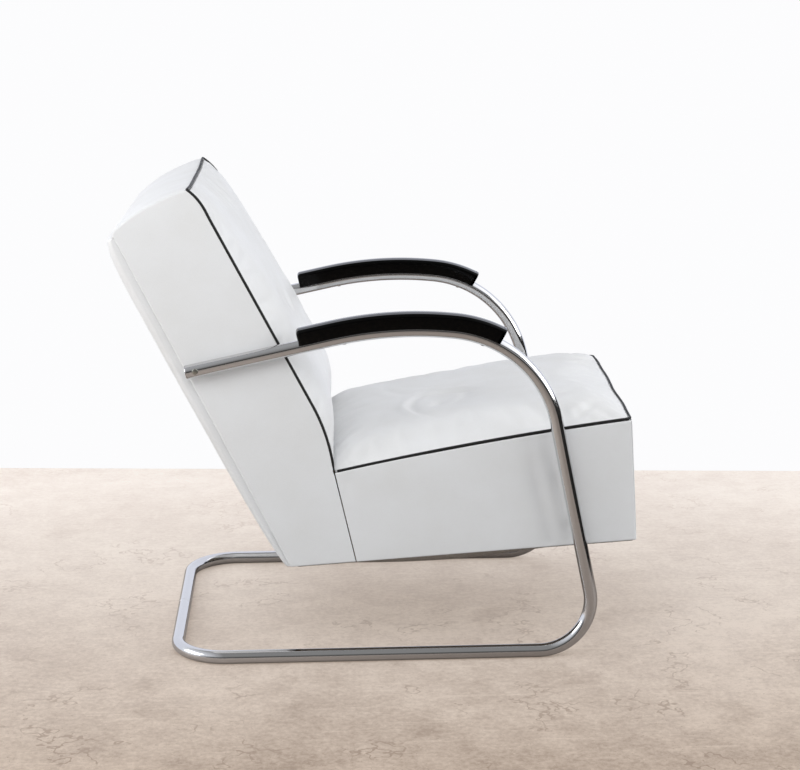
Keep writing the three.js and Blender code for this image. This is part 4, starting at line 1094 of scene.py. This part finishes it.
def softened(x, y, endX, half, radius):
    # rounds the corners of a pad where its end meets its sides, following the piping
    px, py = np.clip(radius - np.abs(endX - x), 0, radius), np.clip(radius - (half - np.abs(y)), 0, radius)
    share = np.maximum(px, py) / np.maximum(np.hypot(px, py), 1e-9)
    inside = (px > 0) & (py > 0)
    return (np.where(inside, endX + np.sign(x - endX + 1e-9) * (radius - px * share), x),
            np.where(inside, np.sign(y) * (half - radius + py * share), y))


def wrinkleField(x, y, creases):
    # each crease: centre, direction in degrees, length, width, depth, and how much it curves
    total = np.zeros_like(x)
    for cx, cy, angle, length, width, depth, curve in creases:
        c, s = math.cos(math.radians(angle)), math.sin(math.radians(angle))
        along = (x - cx) * c + (y - cy) * s
        off = -(x - cx) * s + (y - cy) * c - curve * (along / length) ** 2 * length
        profile = np.exp(-(off / width) ** 2) - 0.55 * np.exp(-((off - 1.9 * width) / (1.3 * width)) ** 2)
        total += -depth * profile * np.exp(-(along / length) ** 2)
    return total


def padGrid(s):
    # u runs across from -1 to 1, v from the crease end to the far end, and half is half the pad's width
    u, v = np.meshgrid(gridShares(s["across"]), (gridShares(s["along"]) + 1) / 2)
    return u, v, halfWidth - s["sideGap"]


def handwork(s, u, v, along, y, length, seed, creases):
    # how far each point is from the seams, and the short gathers that run in from them with the creases
    half = halfWidth - s["sideGap"]
    away = np.minimum((1 - np.abs(u)) * half, (1 - v) * length)
    run = np.where((1 - np.abs(u)) * half < (1 - v) * 400, along, y)
    gathers = ripple(run, away * 0.22, seed, 9.0, seed) + 0.6 * ripple(run, away * 0.1, seed, 23.0, seed + 3)
    return away, s["pucker"] * (gathers * np.exp(-away / 17)) + wrinkleField(along, y, creases)


seatPadSizes = {
    "across": 104, "along": 100, "sideGap": 5.2, "frontGap": 5.2, "creaseGap": 0.1, "corner": 9.5,
    "rearFullness": 0.62, "rearRound": 30.0, "rearCrown": -8.5, "frontFullness": 0.5, "pucker": 1.0,
    # the mark of a sitter: centre, width both ways and depth, and a wide shallow hollow round it
    "impression": (198, -46, 50, 78, 6.0), "hollow": ((190, 130), (20, 150), 3.0),
}
seatWrinkles = [
    (124, -73, 90, 78, 8, 6.5, -0.3), (202, 2, -15, 48, 7, 6.0, -0.3), (172, -76, 60, 16, 8, 5.0, 0.0),
    (226, -48, 80, 40, 8, 4.0, 0.3), (420, -228, 40, 30, 9, 5.5, 0.1), (380, -150, 25, 45, 12, 2.2, 0.1),
    (336, -244, 2, 42, 9, 1.5, 0.0), (25, -208, 35, 38, 10, -1.5, 0.1), (18, -236, 60, 22, 7, 1.8, 0.0),
    (90, 70, 110, 55, 9, 1.5, -0.2), (150, 60, 150, 60, 9, 1.3, -0.2), (20, 205, 150, 40, 8, 1.6, 0.1),
    (250, 30, 5, 80, 12, 0.9, 0.1), (440, 215, 140, 30, 9, 1.8, 0.1), (300, -150, 20, 60, 11, 0.8, 0.1),
    (60, -130, 70, 40, 9, 1.1, 0.2),
]


def seatCushion():
    s = seatPadSizes
    u, v, half = padGrid(s)
    rear = rearTopX + 2.8 + s["creaseGap"] + s["rearCrown"] * fullness(u)
    frontX = seat["length"] - s["frontGap"]
    x, y = rear + (frontX - rear) * v, u * half
    ahead = np.where(v > 0.5, fullness(2 * v - 1, s["frontFullness"]) * (1 - 0.14 * (2 * v - 1)), 1.0)
    rolled = np.sin(np.clip((x - rear) / s["rearRound"], 0, 1) * quarter)
    rise = seat["crown"] * fullness(u) * ahead * lerp(s["rearFullness"], 1.0, rolled)
    behind = x - rear
    x, y = softened(x, y, frontX, half, s["corner"])
    x = x + frontBow(y) * ramp(v, 0.6, 0.4)
    start = stuffing["start"]
    face = np.stack([x, y, pipingHeight(x) + rise * start], -1)
    face = stuffedSheet("seat_sheet", face, (0, 0, 1))
    away, worked = handwork(s, u, v, x, y, frontX - rear, 19.0, seatWrinkles)
    free = smooth(away / 14) * smooth(behind / 10)
    cx, cy, rx, ry, deep = s["impression"]
    hollow = -deep * np.exp(-(((x - cx) / rx) ** 2 + ((y - cy) / ry) ** 2) ** 1.5)
    alongSeat, acrossSeat, depth = s["hollow"]
    hollow = hollow - depth * bump(x, *alongSeat) * bump(y, *acrossSeat)
    face[..., 2] += (worked + hollow + ripple(x, y, 3.0, 95.0)) * free
    shaped = outOf(seat, face)

    def depthPoint(j, i, level):
        # the rear end stays in front of the seam plane with the back
        x, y, z = face[j, i]
        low = lerp(pipingHeight(x) - seat["padDepth"], z, level)
        plane = seamX(min(low, seat["rearHeight"])) + (0.4 if low > seat["rearHeight"] - 5 else 3.0)
        return outOf(seat, [max(x, plane), y, low])

    points, faces = shell(shaped, depthPoint, (0.92, 0.8, 0.5, 0.0))
    return finishedPad("seat_pad", points, faces, "seat_cushion")


def finishedPad(name, points, faces, node):
    made = pieceFrom(name, points, faces, whiteLeather, (node,), 60)
    finer = made.modifiers.new("finer", "SUBSURF")
    finer.levels = finer.render_levels = 1
    return made


backPadSizes = {
    "across": 104, "along": 116, "sideGap": 5.2, "footGap": 2.5, "topGap": 5.0, "corner": 15.3, "topThin": 0.5,
    "tuck": 84.0, "footSink": 6.5, "pucker": 0.9, "dimple": (200, -72, 30, 40, 6.0),
}
backWrinkles = [
    (178, -40, 40, 34, 12, 2.4, 0.1), (160, -238, 80, 16, 7, 2.6, 0.0), (110, 110, 80, 70, 14, 2.2, 0.15),
    (150, 150, 20, 50, 12, 1.8, 0.1), (40, 170, 110, 60, 10, 1.4, 0.1), (-20, 60, 20, 70, 10, 1.2, 0.1),
    (-30, -90, 160, 70, 10, 1.2, 0.1), (360, -200, 120, 60, 12, 1.3, 0.1), (300, 200, 60, 60, 12, 1.2, 0.1),
    (240, 30, 85, 80, 16, 0.9, 0.1), (60, -215, 75, 40, 9, 1.2, 0.1),
]


def backCushion():
    s = backPadSizes
    u, v, half = padGrid(s)
    footZ, topZ = seamTop[1] + s["footGap"], crestZ - s["topGap"]
    z, y = lerp(footZ, topZ, v), u * half
    crown = lerp(back["loinCrown"], back["crown"], np.sin(np.clip(2 * v, 0, 1) * quarter))
    above = np.where(v > 0.5, fullness(2 * v - 1) * (1 - s["topThin"] * (2 * v - 1)), 1.0)
    tucked = np.sin(np.clip((z - footZ) / s["tuck"], 0, 1) * quarter)
    rise = crown * fullness(u) * above * tucked - s["footSink"] * fullness(u) * (1 - tucked)
    z, y = softened(z, y, topZ, half, s["corner"])
    start = stuffing["start"]
    face = np.stack([frontEdge(z) + rise * start, y, z], -1)
    face = stuffedSheet("back_sheet", face, (1, 0, 0))
    away, worked = handwork(s, u, v, z, y, topZ - footZ, 41.0, backWrinkles)
    free = smooth(away / 14) * ramp(z, footZ, 12)
    cz, cy, rz, ry, deep = s["dimple"]
    dimple = -deep * np.exp(-((z - cz) / rz) ** 2 - ((y - cy) / ry) ** 2)
    face[..., 0] += (worked + dimple + 0.9 * ripple(z, y, 5.0, 100.0, 2.0)) * free
    shaped = outOf(back, face)

    def depthPoint(j, i, level):
        return outOf(back, [lerp(-back["padDepth"], face[j, i, 0], level), face[j, i, 1], face[j, i, 2]])

    points, faces = shell(shaped, depthPoint, (0.95, 0.85, 0.5, 0.0))
    return finishedPad("back_pad", points, faces, "back_cushion")


seatCushion()
backCushion()
print("cushions made")


pipingSizes = {
    "sides": 20, "wander": 0.32, "unevenness": 0.05, "seatCorner": 9.0, "backCorner": 7.0, "taper": 14.0,
    "crossing": 0.76, "farSink": 1.6,
}


def pipingSweep(name, group, line, node, seed, start=(0.0, 0.0, 1.0), endRadius=1.0):
    # a leather-covered cord along a line of points, a little uneven as hand-sewn piping is
    p = pipingSizes
    line = np.asarray(line, float)
    ways = np.gradient(line, axis=0)
    ways /= np.linalg.norm(ways, axis=1)[:, None]
    arc = np.concatenate([[0], np.cumsum(np.linalg.norm(np.diff(line, axis=0), axis=1))])
    toEnd = np.minimum(arc, arc[-1] - arc)
    ease = smooth(toEnd / 20)
    wander = p["wander"] * ripple(arc, seed, 0.0, 24.0, seed) * ease
    thick = 1 + p["unevenness"] * ripple(arc, seed, 5.0, 9.0, seed)
    # the runs across the chair sink deeper between the covers
    thick = thick * lerp(1.0, p["crossing"], ramp(halfWidth - np.abs(line[:, 1]), 6, 20))
    thick = thick * lerp(endRadius, 1.0, smooth(toEnd / p["taper"]))
    sides, ups = ringFrames(ways, start)
    count = p["sides"]
    rings = ringsAlong(line + sides * wander[:, None], sides, ups, circle(pipingRadius, count), thick)
    points = outOf(group, np.concatenate(rings))
    faces = gridFaces(len(rings), count, wrap=True) + capFaces(count, len(points))
    return pieceFrom(name, points, faces, blackLeather, (node,), 50)


def acrossTheChair(run, radius):
    # a run along the right side, a quarter turn inwards, and both joined to their mirror image
    way = (run[-1] - run[-2]) / np.linalg.norm(run[-1] - run[-2])
    inwards = np.array([0.0, 1.0, 0.0])
    angles = [quarter * k / 12 for k in range(1, 13)]
    turn = [run[-1] + radius * math.sin(a) * way + radius * (1 - math.cos(a)) * inwards for a in angles]
    half = np.asarray(run + turn)
    other = half[::-1] * np.array([1.0, -1.0, 1.0])
    middle = np.linspace(half[-1], other[0], 90)[1:-1]
    return np.concatenate([half, middle, other])


def makePiping():
    p = pipingSizes
    pipingY = halfWidth - pipingRadius
    xs = np.linspace(rearTopX + 5.3, seat["length"] - pipingRadius - p["seatCorner"], 120)
    line = acrossTheChair([np.array([x, -pipingY, pipingHeight(x)]) for x in xs], p["seatCorner"])
    line[:, 0] += frontBow(line[:, 1]) * ramp(line[:, 0], seat["length"] - 40, 40)
    line[:, 2] -= p["farSink"] * ramp(line[:, 1], 180, 70) * ramp(line[:, 0], 330, 120)
    pipingSweep("seat_welt", seat, line, "seat_piping", 1.7)
    zs = np.linspace(seamTop[1] + 3, crestZ - p["backCorner"], 140)
    line = acrossTheChair([np.array([float(frontEdge(z)), -pipingY, z]) for z in zs], p["backCorner"])
    pipingSweep("back_welt", back, line, "back_piping", 6.3, (1.0, 0.0, 0.0), 0.35)


makePiping()
print("piping made")


def standing(foot, other, height):
    return [(*foot, 0), (*other, 0), (*other, height), (*foot, height)]


def stagePlane(name, corners, material):
    mesh = bpy.data.meshes.new(name)
    mesh.from_pydata([Vector(c) for c in corners], [], [(0, 1, 2, 3)])
    made = bpy.data.objects.new(name, mesh)
    bpy.context.scene.collection.objects.link(made)
    mesh.materials.append(material)
    return made


def floorMaterial():
    material, w, shader = newMaterial("screedFloor")
    where = w.here()
    broad = w.remap(w.noise(where, 2.2, 8.0, 0.62), 0.36, 0.64)
    fine = w.remap(w.noise(where, 16.0, 9.0, 0.7), 0.34, 0.66)
    grit = w.remap(w.noise(where, 95.0, 6.0, 0.75), 0.34, 0.66)
    stains = w.remap(w.noise(where, 6.5, 4.0, 0.6), 0.58, 0.68)
    pits = w.remap(w.noise(where, 210.0, 2.0, 0.6), 0.66, 0.72)
    chips = w.remap(w.noise(where, 150.0, 3.0, 0.6), 0.665, 0.70)
    drawn = w.node("Mapping")
    fix(drawn, {"Rotation": (0, 0, 0.5), "Scale": (4.0, 60.0, 1.0)})
    w.join(where, drawn.inputs["Vector"])
    strokes = w.remap(w.noise(drawn.outputs[0], 1.0, 5.0, 0.65), 0.58, 0.70)
    # hair cracks along the middle line of a noise, only in some places
    offMiddle = w.math("ABSOLUTE", w.math("SUBTRACT", w.noise(where, 7.0, 4.0, 0.6), 0.5))
    cracks = w.times(w.remap(offMiddle, 0.0, 0.011, 1.0, 0.0), w.remap(w.noise(where, 5.0, 2.0), 0.54, 0.6))
    tone = 0.03
    for mask, share in ((broad, 0.34), (fine, 0.34), (grit, 0.42), (strokes, 0.24), (stains, -0.2),
                        (chips, 0.4), (pits, -0.8), (cracks, -0.8)):
        tone = w.plus(w.times(mask, share), tone)
    tone = w.remap(tone, 0.2, 0.84)
    # paler towards the wall, and grey for the light that it throws back on the chair
    axes = w.axes(where)
    # painted light: lighter towards the wall, where the wall's reflection lies on the floor, and darker
    # towards the front, where the light falls off
    litTowardsWall = w.remap(axes["Y"], -0.75, 0.9)
    dark = w.mix(litTowardsWall, (0.338, 0.272, 0.224, 1), (0.87, 0.81, 0.78, 1))
    pale = w.mix(litTowardsWall, (0.575, 0.495, 0.43, 1), (1.0, 0.97, 0.95, 1))
    seen = w.mix(tone, dark, pale)
    path = w.node("LightPath").outputs
    # painted light: grey for the light that the floor throws back on the chair, brighter to the left, and a
    # painted reflection for the metal, lighter to the left and darker to the right
    bright = w.mix(w.remap(axes["X"], -1.3, -0.35), (0.80, 0.74, 0.68, 1), (0.27, 0.265, 0.26, 1))
    bounced = w.mix(path["Is Diffuse Ray"], seen, bright)
    mirrored = w.mix(w.remap(axes["X"], -2.2, 0.3), (0.74, 0.66, 0.60, 1), (0.31, 0.26, 0.225, 1))
    w.join(w.mix(path["Is Glossy Ray"], bounced, mirrored), shader.inputs["Base Color"])
    w.join(w.remap(fine, 0.0, 1.0, 0.5, 0.75), shader.inputs["Roughness"])
    bumped(w, shader, fine, 0.08, 1.0)
    # painted light: for the camera the floor partly glows in its own pale colour, tinted warmer, so that the
    # shadow stays as faint as in daylight and turns warmer
    glow = w.node("Emission")
    w.join(w.mix(1.0, seen, (1.08, 0.97, 0.86, 1), "MULTIPLY"), glow.inputs["Color"])
    w.show(w.blend(w.times(path["Is Camera Ray"], 0.4), shader.outputs[0], glow.outputs[0]))
    return material


def wallMaterial():
    # white for the camera and in reflections, plain paint for light, and clear from behind
    material, w, shader = newMaterial("whiteWall")
    fix(shader, {"Base Color": (0.86, 0.86, 0.86, 1), "Roughness": 0.8})
    path, glow = w.node("LightPath").outputs, w.node("Emission")
    white = w.mix(path["Is Camera Ray"], (0.92, 0.95, 1.06, 1), (0.975, 0.975, 0.985, 1))
    w.join(white, glow.inputs["Color"])
    seen = w.math("MAXIMUM", path["Is Camera Ray"], path["Is Glossy Ray"])
    seen = w.math("MAXIMUM", seen, path["Is Transmission Ray"])
    painted = w.blend(seen, shader.outputs[0], glow.outputs[0])
    behind = w.node("NewGeometry").outputs["Backfacing"]
    w.show(w.blend(behind, painted, w.node("BsdfTransparent").outputs[0]))
    return material


def flagMaterial():
    # a black card outside the picture that only the metal mirrors
    material, w, shader = newMaterial("blackCard")
    cloudy = w.noise(w.here(), 3.0)
    w.join(w.mix(cloudy, (0.004, 0.004, 0.004, 1), (0.02, 0.018, 0.016, 1)), shader.inputs["Base Color"])
    fix(shader, {"Roughness": 0.9})
    return material


stageSizes = {
    # the foot of the wall as the photograph's line between floor and wall gives it, in metres
    "wallFrom": (-0.8792, 1.0497), "wallTo": (1.0537, 0.8936), "wallHeight": 1.9, "reach": 7.0,
    "flagX": 1.3, "flagY": (-1.7, 0.75), "flagHeight": 0.62,
}


def makeStage():
    s = stageSizes
    far = s["reach"]
    stagePlane("floor", [(-far, -far, 0), (far, -far, 0), (far, far, 0), (-far, far, 0)], floorMaterial())
    (x0, y0), (x1, y1) = s["wallFrom"], s["wallTo"]
    slope = (y1 - y0) / (x1 - x0)
    left, right = ((x, y0 + (x - x0) * slope) for x in (-far, far))
    stagePlane("wall", standing(left, right, s["wallHeight"]), wallMaterial())
    near, distant = ((s["flagX"], y) for y in s["flagY"])
    flag = stagePlane("flag", standing(near, distant, s["flagHeight"]), flagMaterial())
    flag.visible_camera = flag.visible_diffuse = flag.visible_shadow = False


makeStage()

lightLevels = {
    "horizon": 0.56, "zenith": 0.52, "rightGain": 0.35, "leftGain": 0.75,
    "mirrorLeft": (1.0, 1.03, 1.10, 1), "mirrorAbove": (0.30, 0.30, 0.30, 1),
    "mirrorFront": (0.05, 0.048, 0.045, 1), "mirrorRight": (0.04, 0.04, 0.04, 1),
    "mirrorRightHigh": (1.6, 1.62, 1.7, 1), "mirrorRightBeam": (0.12, 0.12, 0.12, 1),
}


def makeWorld():
    g = lightLevels
    world = bpy.data.worlds.new("studio")
    bpy.context.scene.world = world
    world.use_nodes = True
    w = Wiring(world.node_tree)
    sky = [n for n in world.node_tree.nodes if n.type == "BACKGROUND"][0]
    x, y, z = w.axes(w.node("TexCoord").outputs["Generated"])
    toLeft, toFront = w.times(x, -1.0), w.times(y, -1.0)
    level = w.remap(z, 0.0, 0.9, g["horizon"], g["zenith"])
    level = w.times(level, w.remap(x, 0.0, 0.9, 1.0, 1.0 + g["rightGain"]))
    level = w.times(level, w.remap(toLeft, 0.0, 0.9, 1.0, 1.0 + g["leftGain"]))
    lit = w.mix(level, (0, 0, 0, 1), (1.0, 1.0, 1.0, 1))
    # what the metal mirrors: a bright room to the left, a dark one to the right, a grey ceiling
    mirrored = w.mix(w.remap(toLeft, 0.15, 0.75), g["mirrorAbove"], g["mirrorLeft"])
    toTheRight = w.mix(w.remap(z, 0.09, 0.17), g["mirrorRight"], g["mirrorRightHigh"])
    toTheRight = w.mix(w.remap(z, 0.27, 0.33), toTheRight, g["mirrorRightBeam"])
    toTheRight = w.mix(w.remap(z, 0.46, 0.52), toTheRight, g["mirrorRightHigh"])
    mirrored = w.mix(w.remap(x, 0.25, 0.7), mirrored, toTheRight)
    low = w.times(w.remap(toFront, 0.35, 0.8), w.remap(z, 0.06, 0.48, 1.0, 0.0))
    mirrored = w.mix(low, mirrored, g["mirrorFront"])
    w.join(w.mix(w.node("LightPath").outputs["Is Glossy Ray"], lit, mirrored), sky.inputs["Color"])


makeWorld()


def softLamp(name, at, target, size, power, mirrored=True):
    light = bpy.data.lights.new(name, "AREA")
    light.shape = "RECTANGLE"
    light.size, light.size_y = size
    light.energy = power
    made = bpy.data.objects.new(name, light)
    made.location = at
    made.rotation_euler = (Vector(target) - Vector(at)).to_track_quat("-Z", "Y").to_euler()
    made.visible_camera, made.visible_glossy = False, mirrored
    bpy.context.scene.collection.objects.link(made)
    return made


softLamp("windowRight", (2.9, -0.9, 1.5), (0, 0, 0.5), (2.0, 1.4), 40)
softLamp("windowLeft", (-2.8, -0.7, 1.4), (0, 0, 0.45), (2.0, 1.4), 26)
softLamp("backFill", (-0.6, -1.4, 1.6), (-0.25, 0, 0.6), (1.2, 0.8), 8.5, mirrored=False)

camera = {
    "at": (crossbarX * metre + 0.2537, -3.5046, 1.2578), "yaw": 2.64, "pitch": 13.16, "roll": -0.32,
    "lens": 86.36,
}
yaw, pitch, roll = (math.radians(camera[k]) for k in ("yaw", "pitch", "roll"))
forward = Vector((math.sin(yaw) * math.cos(pitch), math.cos(yaw) * math.cos(pitch), -math.sin(pitch)))
level = Vector((math.cos(yaw), -math.sin(yaw), 0))
upright = level.cross(forward)
right = math.cos(roll) * level + math.sin(roll) * upright
above = -math.sin(roll) * level + math.cos(roll) * upright
lens = bpy.data.cameras.new("photographView")
lens.lens, lens.sensor_width = camera["lens"], 36.0
lens.clip_start, lens.clip_end = 0.05, 50.0
viewer = bpy.data.objects.new("photographView", lens)
viewer.matrix_world = Matrix((
    (right.x, above.x, -forward.x, camera["at"][0]),
    (right.y, above.y, -forward.y, camera["at"][1]),
    (right.z, above.z, -forward.z, camera["at"][2]),
    (0, 0, 0, 1),
))
bpy.context.scene.collection.objects.link(viewer)
bpy.context.scene.camera = viewer
bpy.context.scene.view_settings.view_transform = "Standard"
print("stage, light and camera made")
